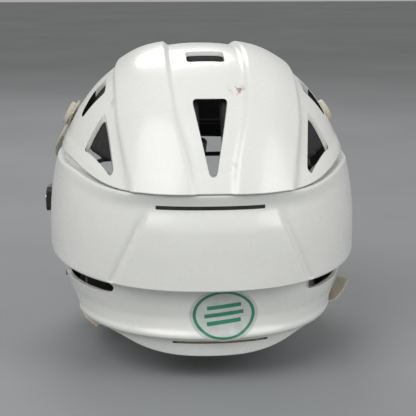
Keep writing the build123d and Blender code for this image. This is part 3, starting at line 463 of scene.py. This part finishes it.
def shade(thing, angle):
    """Smooth shading, sharp where faces meet at more than angle."""
    data = thing.data
    data.polygons.foreach_set("use_smooth", [True] * len(data.polygons))
    data.set_sharp_from_angle(angle=math.radians(angle))


def rounded(points, radius, steps=5):
    """Outline with its corners rounded by short curves."""
    out = []
    count = len(points)
    for i in range(count):
        before, here, after = (Vector(points[(i + k) % count]) for k in (-1, 0, 1))
        first = (before - here).normalized() * min(radius, (before - here).length * 0.45)
        second = (after - here).normalized() * min(radius, (after - here).length * 0.45)
        for k in range(steps + 1):
            t = k / steps
            out.append(tuple(here + first * (1 - t) ** 2 + second * t**2))
    return out


def prism(outline, lift, low, high):
    """Points and faces of a prism: lift(a, b, c) turns an outline point and a depth into space."""
    count = len(outline)
    points = [lift(a, b, low) for a, b in outline] + [lift(a, b, high) for a, b in outline]
    faces = [tuple(range(count)), tuple(range(2 * count - 1, count - 1, -1))]
    faces += [(i, (i + 1) % count, (i + 1) % count + count, i + count) for i in range(count)]
    return points, faces


def carve(thing, operation, prisms):
    """Boolean of thing with prisms, which are (points, faces), then thrown away."""
    points, faces = [], []
    for more_points, more_faces in prisms:
        faces += [tuple(i + len(points) for i in face) for face in more_faces]
        points += more_points
    tool = build_mesh("tool", points, faces, thing.data.materials[0])
    modifier = thing.modifiers.new("carve", "BOOLEAN")
    modifier.operation = operation
    modifier.solver = "EXACT"
    modifier.object = tool
    graph = bpy.context.evaluated_depsgraph_get()
    made = bpy.data.meshes.new_from_object(thing.evaluated_get(graph))
    thing.modifiers.clear()
    thing.data = made
    bpy.data.objects.remove(tool)


def line_inside(thing, material, middle):
    """Gives the faces that look inwards, towards middle, the lining's material."""
    data = thing.data
    data.materials.append(material)
    index = len(data.materials) - 1
    for face in data.polygons:
        away = face.center - Vector(middle)
        away.z *= 0.4
        if face.normal.dot(away.normalized()) < -0.25:
            face.material_index = index


def from_rear(a, b, c):
    """An outline of X and Z, carried along Y."""
    return (a, c, b)


def from_side(a, b, c):
    """An outline of Y and Z, carried along X."""
    return (c, a, b)


def from_above(a, b, c):
    """An outline of X and Y, carried along Z."""
    return (a, b, c)


# crown shell
def crown_points(angle, share, out):
    """Points of the crown at an angle round the level and a share of its widest size."""
    height = WIDEST + (DOME_RISE + out) * np.clip(1 - share**DOME_POWER, 0, 1) ** (1 / DOME_POWER)
    rear, front = (CROWN_REAR + out) * share + rim_flare(height), (CROWN_FRONT + out) * share
    c, s = np.cos(angle), np.sin(angle)
    x = (CROWN_HALF + out) * share * np.sign(c) * np.abs(c) ** (2 / PLAN)
    y = MIDDLE_Y + np.where(s > 0, rear, front) * np.sign(s) * np.abs(s) ** (2 / PLAN)
    return np.stack([x, y, height], -1)


def lobe_lift(x, y):
    """How far the two raised lobes stand out, with soft shoulders."""
    side = np.abs(x)
    edge = np.minimum(side - curve(y, *LOBE_INNER), curve(y, *LOBE_OUTER) - side)
    behind = y - LOBE_FRONT_Y - LOBE_SWEEP * np.abs(side - LOBE_MIDDLE_X)
    body = smooth_step(np.minimum(edge / LOBE_SHOULDER, behind / LOBE_NOSE))
    puff = smooth_step(edge / LOBE_PUFF_SIDE) * smooth_step(behind / LOBE_PUFF_RUN)
    return LOBE_RISE * body + LOBE_PUFF * puff


def make_crown():
    """Skin of the crown: outside with lobes and bead, rolled rim, inside, and the vents cut through."""
    around, rings, rim_rows = 420, 110, 7
    angle = np.linspace(0, 2 * np.pi, around, endpoint=False)
    low, high = np.full(around, 0.4), np.full(around, 0.99)
    for _ in range(40):
        mid = (low + high) / 2
        at = crown_points(angle, mid, 0)
        above = at[:, 2] > rim_height(at[:, 0])
        low, high = np.where(above, mid, low), np.where(above, high, mid)
    share = low[None, :] * np.linspace(1, 0.012, rings)[:, None] ** 1.05
    turn = np.broadcast_to(angle, share.shape)
    outer = crown_points(turn, share, 0)
    inner = crown_points(turn, share, -SHELL_WALL)
    across = np.roll(outer, -1, 1) - np.roll(outer, 1, 1)
    along = np.gradient(outer, axis=0)
    normal = np.cross(along, across)
    normal /= np.linalg.norm(normal, axis=-1, keepdims=True)
    normal *= np.sign(np.sum(normal * (outer - np.array([0, 20, 60])), -1, keepdims=True))
    rise = lobe_lift(outer[..., 0], outer[..., 1])
    over = np.clip((outer[..., 2] - rim_height(outer[..., 0])), 0, None)
    to_rear = smooth_step((outer[..., 1] + 20) / 40)
    bead = BEAD_RISE * (1 - smooth_step((over - BEAD_HEIGHT) / BEAD_FADE)) * to_rear
    outer = outer + normal * (rise + bead * (rise < 1.5))[..., None]
    thick = (outer[0] + inner[0]) / 2
    half = (outer[0] - inner[0]) / 2
    half[:, 2] = 0
    rows = []
    for k in range(rim_rows):
        turn_by = math.pi * k / (rim_rows - 1)
        row = thick + half * math.cos(turn_by)
        row[:, 2] = rim_height(outer[0][:, 0]) + 0.9 - 0.9 * math.sin(turn_by)
        rows.append(row)
    outer[0, :, 2] += 1.0
    sheet = np.concatenate([outer[::-1], np.array(rows), inner])
    keep = [r for r in range(len(sheet)) if r not in (rings - 1, rings + rim_rows)]
    sheet = sheet[keep]
    count = len(sheet)
    points = sheet.reshape(-1, 3)
    faces = grid_faces(count, around, round_columns=True)
    faces.append(tuple(range(around)))
    faces.append(tuple((count - 1) * around + i for i in range(around))[::-1])
    thing = build_mesh("crown_shell_skin", points, faces, shell_white)
    tools = [prism(rounded(*CENTRE_VENT), from_rear, *CENTRE_CUT)]
    tools.append(prism(rounded(*TOP_VENT), from_above, *TOP_CUT))
    for side in (1, -1):
        for outline in (rounded(*UPPER_VENT), rounded(*LOWER_VENT)):
            tools.append(prism([(side * x, y) for x, y in outline], from_above, *SIDE_CUT))
    carve(thing, "DIFFERENCE", tools)
    line_inside(thing, liner_foam, HEAD_MIDDLE)
    shade(thing, SHARP)
    return thing


# rear shell
def columns(reach):
    """Level positions of every column for a level's (half width, rear, front) reach."""
    half, rear, front = reach
    x, y = np.empty_like(half), np.empty_like(half)
    for part, side in ((FRONT_LEFT, 1), (FRONT_RIGHT, -1)):
        y[part] = SIDE_Y[part]
        along = np.clip((MIDDLE_Y - y[part]) / front[part], 0, 1) ** PLAN
        x[part] = side * np.clip(half[part] * (1 - along) ** (1 / PLAN), 5, None)
    c, s = np.cos(TURN[REAR]), np.sin(TURN[REAR])
    x[REAR] = half[REAR] * np.sign(c) * np.abs(c) ** (2 / PLAN)
    y[REAR] = MIDDLE_Y + rear[REAR] * np.abs(s) ** (2 / PLAN)
    return x, y


FRONT_COUNT, REAR_COUNT = 64, 260
TOTAL = 2 * FRONT_COUNT + REAR_COUNT
FRONT_LEFT = np.arange(FRONT_COUNT)
REAR = np.arange(FRONT_COUNT, FRONT_COUNT + REAR_COUNT)
FRONT_RIGHT = np.arange(FRONT_COUNT + REAR_COUNT, TOTAL)
FRONT_Y = -118
SIDE_Y = np.zeros(TOTAL)
SIDE_Y[FRONT_LEFT] = np.linspace(FRONT_Y, MIDDLE_Y, FRONT_COUNT, endpoint=False)
SIDE_Y[FRONT_RIGHT] = SIDE_Y[FRONT_LEFT][::-1]
TURN = np.zeros(TOTAL)
TURN[REAR] = np.linspace(0, np.pi, REAR_COUNT)


def ring(reach_at, z, out=0.0, back=0.0):
    """One level's points, a point for every column, at heights z."""
    x, y = columns(reach_at(z, out, back))
    return np.stack([x, y, z], -1)


def panel_lift(x, z):
    """Shallow raised panel at the back of the upper wall, with a groove along its sides."""
    edge = PANEL_HALF + (PANEL_LEVEL - z) * PANEL_SLOPE - np.abs(x)
    groove = GROOVE_DEPTH * np.exp(-(((edge + GROOVE_OUT) / GROOVE_WIDTH) ** 2))
    panel = PANEL_RISE * smooth_step(edge / PANEL_SHOULDER)
    return (panel - groove) * smooth_step((PANEL_TOP - z) / PANEL_FADE)


def shoulder_height(x):
    """Top of the rear wall, just under the crown's rim line, lower at the sides."""
    return rim_height(x) - SHOULDER_GAP - SHOULDER_DROP * (rim_height(x) - RIM_REAR) / RIM_RISE


def flush_lift(z, top):
    """How far the wall flares out under the crown's rim at the back, to end level with it."""
    crown = crown_reach(top, 0, 0)[1] + rim_flare(top)
    full = np.clip(crown - wall_reach(top, 0, 0)[1] - FLUSH_GAP, 0, FLUSH_MOST)
    return full * smooth_step((z - top + FLUSH_RUN) / FLUSH_RUN) ** 1.5


def lip_fade(y):
    """0 at the sides and 1 at the back, where the lip stands out."""
    return smooth_step((y - LIP_START_Y) / LIP_START_RUN)


def make_rear():
    """Skin of the rear shell: levels down the outside, then up the inside, cut by its side outline."""
    ones = np.ones(TOTAL)
    seam = seam_height(ring(wall_reach, SEAM_MIDDLE * ones)[:, 1])
    top_x = ring(wall_reach, SHOULDER_LEVEL * ones)[:, 0]
    top = shoulder_height(top_x)
    corner, edge = TOP_ROUNDING, SEAM_ROUNDING
    rows = []
    for k in range(6):
        turn_by = math.pi / 2 * (1 - k / 5)
        back = corner * (math.cos(turn_by) - 1)
        level = top - corner + corner * math.sin(turn_by)
        rows.append(ring(wall_reach, level, back, back + flush_lift(top, top)))
    for k in range(1, 40):
        z = top - corner + (seam + edge - top + corner) * k / 39
        row = ring(wall_reach, z)
        at_rear = np.clip((row[:, 1] - PANEL_START_Y) / PANEL_START_RUN, 0, 1)
        lift = panel_lift(row[:, 0], z) * at_rear
        rows.append(ring(wall_reach, z, lift * PANEL_SIDE_SHARE, lift + flush_lift(z, top)))
    for k in range(1, 5):
        turn_by = math.pi / 2 * k / 4
        back = edge * (math.cos(turn_by) - 1)
        rows.append(ring(wall_reach, seam + edge - edge * math.sin(turn_by), back, back))
    for drop, out, back in SEAM_FILLET:
        rows.append(ring(band_reach, seam - drop, out, back))
    for k in range(1, 16):
        rows.append(ring(band_reach, seam - drop + (LIP_TOP - seam + drop) * k / 15))
    y = ring(band_reach, LIP_LEVEL * ones)[:, 1]
    for z, share in LIP:
        out = share * lip_fade(y)
        rows.append(ring(band_reach, z * ones, LIP_SIDE * out, LIP_REAR * out))
    lip_end = LIP[-1][0]
    for k in range(1, 12):
        rows.append(ring(band_reach, (lip_end - (lip_end - BOTTOM) * k / 11) * ones))
    for k in range(24):
        z = BOTTOM + (seam + SHELL_WALL - BOTTOM) * k / 23
        rows.append(ring(band_reach, z, -SHELL_WALL, -SHELL_WALL))
    for k in range(14):
        z = seam + SHELL_WALL + (top - SHELL_WALL - seam - SHELL_WALL) * k / 13
        rows.append(ring(wall_reach, z, -SHELL_WALL, -SHELL_WALL))
    over = rim_height(top_x) + NECK_RISE
    for k in range(5):
        rows.append(ring(neck_reach, top - SHELL_WALL + (over - top + SHELL_WALL) * k / 4, NECK_IN))
    for k in range(4):
        rows.append(ring(neck_reach, over - (over - top) * k / 3, NECK_OUT))
    count = len(rows)
    points = np.stack(rows).reshape(-1, 3)
    faces = grid_faces(count, TOTAL, round_rows=True)
    faces.append(tuple(r * TOTAL for r in range(count)))
    faces.append(tuple(r * TOTAL + TOTAL - 1 for r in range(count))[::-1])
    thing = build_mesh("rear_shell_skin", points, faces, shell_white)
    side = rounded(REAR_SIDE, REAR_CORNER)
    carve(thing, "INTERSECT", [prism(side, from_side, -CUT_REACH, CUT_REACH)])
    tools = []
    for opening, (near, far) in ((EAR_HOLE, EAR_CUT), (SEAM_SLOT, SLOT_CUT)):
        outline = rounded(*opening)
        tools += [prism(outline, from_side, near, far), prism(outline, from_side, -far, -near)]
    carve(thing, "DIFFERENCE", tools)
    line_inside(thing, liner_foam, HEAD_MIDDLE)
    shade(thing, SHARP)
    return thing


crown_skin = make_crown()
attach(crown_skin, "shell")
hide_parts("crown_shell")
rear_skin = make_rear()
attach(rear_skin, "shell")
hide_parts("rear_shell")


# foam and cloth
def padding(name, node, body, material, voxel, rounds, puff):
    """Softened copy of a CAD solid: remeshed, pulled in at its edges, and puffed up a little."""
    data = nodes[node].data.copy()
    thing = bpy.data.objects.new(name, data)
    scene.collection.objects.link(thing)
    data.materials.clear()
    data.materials.append(material)
    remesh = thing.modifiers.new("remesh", "REMESH")
    remesh.mode = "VOXEL"
    remesh.voxel_size = voxel
    graph = bpy.context.evaluated_depsgraph_get()
    made = bpy.data.meshes.new_from_object(thing.evaluated_get(graph))
    thing.modifiers.clear()
    thing.data = made
    work = bmesh.new()
    work.from_mesh(made)
    for _ in range(rounds):
        bmesh.ops.smooth_vert(
            work, verts=work.verts, factor=0.5, use_axis_x=True, use_axis_y=True, use_axis_z=True
        )
    if puff:
        work.normal_update()
        for vert in work.verts:
            vert.co += vert.normal * puff
    work.to_mesh(made)
    work.free()
    made.materials.clear()
    made.materials.append(material)
    soft = thing.modifiers.new("soft", "SUBSURF")
    soft.levels = 1
    soft.render_levels = 1
    made.polygons.foreach_set("use_smooth", [True] * len(made.polygons))
    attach(thing, body)
    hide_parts(node)
    return thing


for place_name in ("front", "top", "left", "right", "rear_left", "rear_right"):
    foam = "liner_" + place_name
    padding(foam + "_foam", foam, "shell", liner_foam, 0.003, 3, 0.0)
for pad in ("pad_brow", "pad_crown", "jaw_pad_left", "jaw_pad_right"):
    padding(pad + "_cloth", pad, "shell", pad_cloth, 0.003, 5, 0.0004)
padding("cradle_pad_cloth", "cradle_pad", "cradle", pad_cloth, 0.003, 4, 0.0003)
padding("cup_pad_cloth", "cup_pad", "harness", pad_cloth, 0.002, 4, 0.0003)


# webbing
def side_place(reach_at, y, z, out):
    """Point and outward direction on the wearer's left of a form."""

    def x_at(level_y, level_z):
        half, rear, front = reach_at(np.array([float(level_z)]), out, out)
        reach = rear[0] if level_y > MIDDLE_Y else front[0]
        return half[0] * (1 - abs((level_y - MIDDLE_Y) / reach) ** PLAN) ** (1 / PLAN)

    slope_y = (x_at(y + 1, z) - x_at(y - 1, z)) / 2
    slope_z = (x_at(y, z + 1) - x_at(y, z - 1)) / 2
    return Vector((x_at(y, z), y, z)), Vector((1, -slope_y, -slope_z)).normalized()


def blend_points(points, steps):
    """Smooth line through points (each a tuple of numbers), passing through every one."""
    points = [np.array(p, float) for p in points]
    spans = [0.0]
    for first, second in zip(points, points[1:]):
        spans.append(spans[-1] + max(np.linalg.norm(second[:3] - first[:3]), 1e-6))
    at = np.linspace(0, spans[-1], steps)
    return np.stack([curve(at, spans, [p[i] for p in points]) for i in range(len(points[0]))], -1)


WEB_SECTION = [(-7.6, -0.75), (-7.95, -0.35), (-7.95, 0.35), (-7.6, 0.75), (-4, 0.78), (4, 0.78)]
WEB_SECTION += [(7.6, 0.75), (7.95, 0.35), (7.95, -0.35), (7.6, -0.75), (4, -0.78), (-4, -0.78)]


def strap(name, stations, steps, mirror=False):
    """Flat webbing, 16 mm wide, with rounded selvedges, through stations of a middle and a facing."""
    line = blend_points([(*middle, *facing) for middle, facing in stations], steps)
    points = []
    for i, station in enumerate(line):
        ahead = Vector(line[min(i + 1, steps - 1)][:3]) - Vector(line[max(i - 1, 0)][:3])
        across = Vector(station[3:]).cross(ahead).normalized()
        out = ahead.cross(across).normalized()
        for wide, thick in WEB_SECTION:
            point = Vector(station[:3]) + across * wide + out * thick
            points.append((-point.x if mirror else point.x, point.y, point.z))
    count = len(WEB_SECTION)
    faces = grid_faces(steps, count, round_columns=True)
    faces.append(tuple(range(count)))
    faces.append(tuple((steps - 1) * count + k for k in range(count)))
    thing = build_mesh(name, points, faces, webbing)
    shade(thing, 50)
    return thing


# runs of the straps on the wearer's left: middles and the way the face looks
STRAP_LIFT, STUD_LIFT, STUD_TAIL = 5.5, 2.45, 9
EAR_X, PLATE_X = 36.25, 91.95
stud, stud_out = side_place(crown_reach, -6, 168, 0)
shoulder, shoulder_out = side_place(wall_reach, -27, 148, STRAP_LIFT)
cheek, cheek_out = side_place(wall_reach, -66, 122, STRAP_LIFT)
snap = stud + stud_out * STUD_LIFT
toward = shoulder - snap
toward = (toward - stud_out * toward.dot(stud_out)).normalized()
upper_run = [
    (snap - toward * STUD_TAIL, stud_out),
    (snap + toward * STUD_TAIL, stud_out),
    (shoulder, shoulder_out),
    (cheek, cheek_out),
    ((84, -84, 88), Vector((1, 0, -1)).normalized()),
    ((EAR_X, -92.5, 62), Vector((1, 0, 0))),
    ((EAR_X, -98, 48), Vector((1, 0, 0))),
]
lower_run = [
    ((PLATE_X, 17, 53.4), (1, 0, 0)),
    ((PLATE_X, 2, 52), (1, 0, 0)),
    ((87.5, -14, 49.5), (1, 0, 0)),
    ((80, -40, 46), (1, 0, 0)),
    ((62, -72, 39), (1, 0, 0)),
    ((EAR_X, -89, 33.5), (1, 0, 0)),
    ((EAR_X, -103, 29.3), (1, 0, 0)),
]
for side, mirror in (("left", False), ("right", True)):
    upper = strap("upper_strap_" + side + "_web", upper_run, 90, mirror)
    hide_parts("upper_strap_" + side)
    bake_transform(upper)
    lower = strap("lower_strap_" + side + "_web", lower_run, 70, mirror)
    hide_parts("lower_strap_" + side)
    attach(lower, "harness")
left_tail = [
    ((89.0, 4.0, 47.0), (1, 0, 0)),
    ((88.8, 20.0, 36.0), (1, 0, 0)),
    ((86.0, 32.0, 27.0), (0.75, 0.15, 0.65)),
    ((74.0, 45.0, 17.5), (0.35, 0.12, 0.93)),
]
right_tail = [
    ((-89.0, 4.0, 47.0), (-1, 0, 0)),
    ((-88.4, 18.0, 34.0), (-1, 0, 0)),
    ((-91.5, 25.0, 25.0), (0.2, -0.45, 0.9)),
    ((-100.0, 26.0, 25.5), (0.7, -0.1, 0.7)),
    ((-107.0, 24.0, 33.0), (0.85, 0.25, 0.5)),
    ((-112.0, 21.0, 42.0), (0.85, 0.3, 0.5)),
]
for side, stations in (("left", left_tail), ("right", right_tail)):
    tail = strap("strap_tail_" + side + "_web", stations, 60)
    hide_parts("strap_tail_" + side)
    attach(tail, "harness")


# plain decals at the back
def rear_y(x, z, where):
    """Y of the rear shell's back: its wall, its plain band, or the lip with a film's bridge below it."""
    if where == "wall":
        half, rear, _ = wall_reach(z, 0, 0)
        rear = rear + panel_lift(x, z) + flush_lift(z, shoulder_height(x))
    elif where == "band":
        half, rear, _ = band_reach(z, 0, 0)
    else:
        heights, shares = zip(*LIP[LIP_CREST::-1], (LIP_TOP, 0))
        over = np.interp(z, heights, shares)
        lip = LIP_REAR * over * np.clip((z - BRIDGE_BOTTOM) / BRIDGE_RUN, 0, 1)
        half, rear, _ = band_reach(z, LIP_SIDE * over, lip)
    return MIDDLE_Y + rear * np.clip(1 - (np.abs(x) / half) ** PLAN, 0, 1) ** (1 / PLAN)


def film(name, grid, where, lift, material):
    """Thin patch through a grid of (x, z) places, laid on the back."""
    grid = np.asarray(grid, float)
    rows, count = grid.shape[:2]
    x, z = grid[..., 0], grid[..., 1]
    points = np.stack([x, rear_y(x, z, where) + lift, z], -1).reshape(-1, 3)
    thing = build_mesh(name, points, grid_faces(rows, count), material)
    shade(thing, 80)
    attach(thing, "shell")
    return thing


def ring_grid(cx, cz, wide, tall, inner, rings):
    """Places of an oval patch, or of a ring that starts at the share inner of it."""
    turns = np.linspace(0, 2 * np.pi, 145)
    return [
        [(cx + wide * k * math.cos(t), cz + tall * k * math.sin(t)) for t in turns]
        for k in np.linspace(max(inner, 0.001), 1, rings)
    ]


def bar_grid(cx, cz, length, width, turn=0.0):
    """Places of a straight bar, turned by an angle."""
    c, s = math.cos(turn), math.sin(turn)
    return [
        [(cx + a * c - b * s, cz + a * s + b * c) for a in np.linspace(-length / 2, length / 2, 40)]
        for b in np.linspace(-width / 2, width / 2, 5)
    ]


def ink(name, colour, tone, roughness=0.35):
    """Printed or foil colour with a faint second tone."""
    material, tree, shader = new_material(name, colour, roughness)
    blend = ramp(tree, noise(tree, 130, 4), [(0.35, colour), (0.75, tone)])
    tree.links.new(blend, shader.inputs["Base Color"])
    rough = spread(tree, noise(tree, 60, 3), roughness - 0.1, roughness + 0.12)
    tree.links.new(rough, shader.inputs["Roughness"])
    relief(tree, shader, noise(tree, 350, 2), 0.1, 0.0002)
    return material


silver_film = ink("silver_film", (0.52, 0.55, 0.54), (0.62, 0.66, 0.66), 0.22)
green_ink = ink("green_ink", (0.03, 0.22, 0.12), (0.05, 0.27, 0.16))
black_ink = ink("black_ink", (0.012, 0.012, 0.013), (0.03, 0.03, 0.03))
gold_ink = ink("gold_ink", (0.35, 0.25, 0.07), (0.42, 0.3, 0.1))

# the round film with its ring and bars, and three stripes, by middle, length and width in millimetres
FILM_X, FILM_Z = -7.7, 50.4
BAR_TURN, BAR_WIDTH = -0.12, 2.8
INK_LIFT, TOP_INK_LIFT, BAR_LIFT = 0.12, 0.2, 0.22
film("round_film", ring_grid(FILM_X, FILM_Z, 23.6, 18.7, 0.0, 48), "lip", INK_LIFT, silver_film)
film("round_film_ring", ring_grid(FILM_X, FILM_Z, 21.4, 16.9, 0.9, 6), "lip", TOP_INK_LIFT, green_ink)
for at, long in ((-5.2, 23.5), (0.4, 27.0), (6.0, 23.5)):
    grid = bar_grid(FILM_X, FILM_Z + at, long, BAR_WIDTH, BAR_TURN)
    film("round_film_bar." + str(at), grid, "lip", BAR_LIFT, green_ink)
film("rear_stripe_dark", bar_grid(-6, 29.6, 66, 1.4), "band", INK_LIFT, black_ink)
film("rear_stripe_gold", bar_grid(-6, 29.6, 60, 0.5), "band", TOP_INK_LIFT, gold_ink)
film("wall_stripe", bar_grid(2, 126.5, 73, 2.6), "wall", 0.15, black_ink)


# camera, light and floor
LAMP_AIM = (0, 0.02, 0.12)
SKY, SKY_STRENGTH = (0.83, 0.82, 0.8, 1), 0.5
FLOOR_REACH = 6


def make_camera():
    """Camera of the photograph: behind the helmet, a little above and to one side."""
    target = Vector((0, 0.021, 0.0995))
    azimuth, elevation, distance = math.radians(176), math.radians(12), 0.94
    level = math.cos(elevation)
    back = Vector((math.sin(azimuth) * level, -math.cos(azimuth) * level, math.sin(elevation)))
    data = bpy.data.cameras.new("camera")
    data.sensor_width = 36
    data.lens = 105.9
    data.shift_x = 0.018
    thing = bpy.data.objects.new("camera", data)
    thing.location = target + back * distance
    thing.rotation_mode = "QUATERNION"
    thing.rotation_quaternion = (-back).to_track_quat("-Z", "Y")
    scene.collection.objects.link(thing)
    scene.camera = thing


def make_lamp(name, at, size, power):
    """Round soft lamp that looks at the helmet."""
    data = bpy.data.lights.new(name, "AREA")
    data.shape = "DISK"
    data.size = size
    data.energy = power
    thing = bpy.data.objects.new(name, data)
    thing.location = at
    thing.rotation_mode = "QUATERNION"
    thing.rotation_quaternion = (Vector(LAMP_AIM) - Vector(at)).to_track_quat("-Z", "Y")
    scene.collection.objects.link(thing)


make_camera()
make_lamp("key", (0.75, 0.95, 1.15), 1.3, 14)
make_lamp("fill", (-1.1, 0.9, 0.8), 1.0, 8)
make_lamp("back", (0.1, -1.2, 1.2), 0.9, 7)
world = bpy.data.worlds.new("studio")
scene.world = world
world.use_nodes = True
world.node_tree.nodes["Background"].inputs["Color"].default_value = SKY
world.node_tree.nodes["Background"].inputs["Strength"].default_value = SKY_STRENGTH
floor_material, floor_tree, floor_shader = new_material("floor", (0.32, 0.33, 0.34), 0.7)
floor_stops = [(0.3, (0.25, 0.26, 0.27)), (0.7, (0.29, 0.3, 0.31))]
floor_tone = ramp(floor_tree, noise(floor_tree, 3, 3), floor_stops)
floor_tree.links.new(floor_tone, floor_shader.inputs["Base Color"])
floor_data = bpy.data.meshes.new("floor")
corners = [(x * FLOOR_REACH, y * FLOOR_REACH, 0) for x, y in ((-1, -1), (1, -1), (1, 1), (-1, 1))]
floor_data.from_pydata(corners, [], [(0, 1, 2, 3)])
floor_data.materials.append(floor_material)
floor = bpy.data.objects.new("floor", floor_data)
scene.collection.objects.link(floor)
scene.view_settings.view_transform = "Standard"
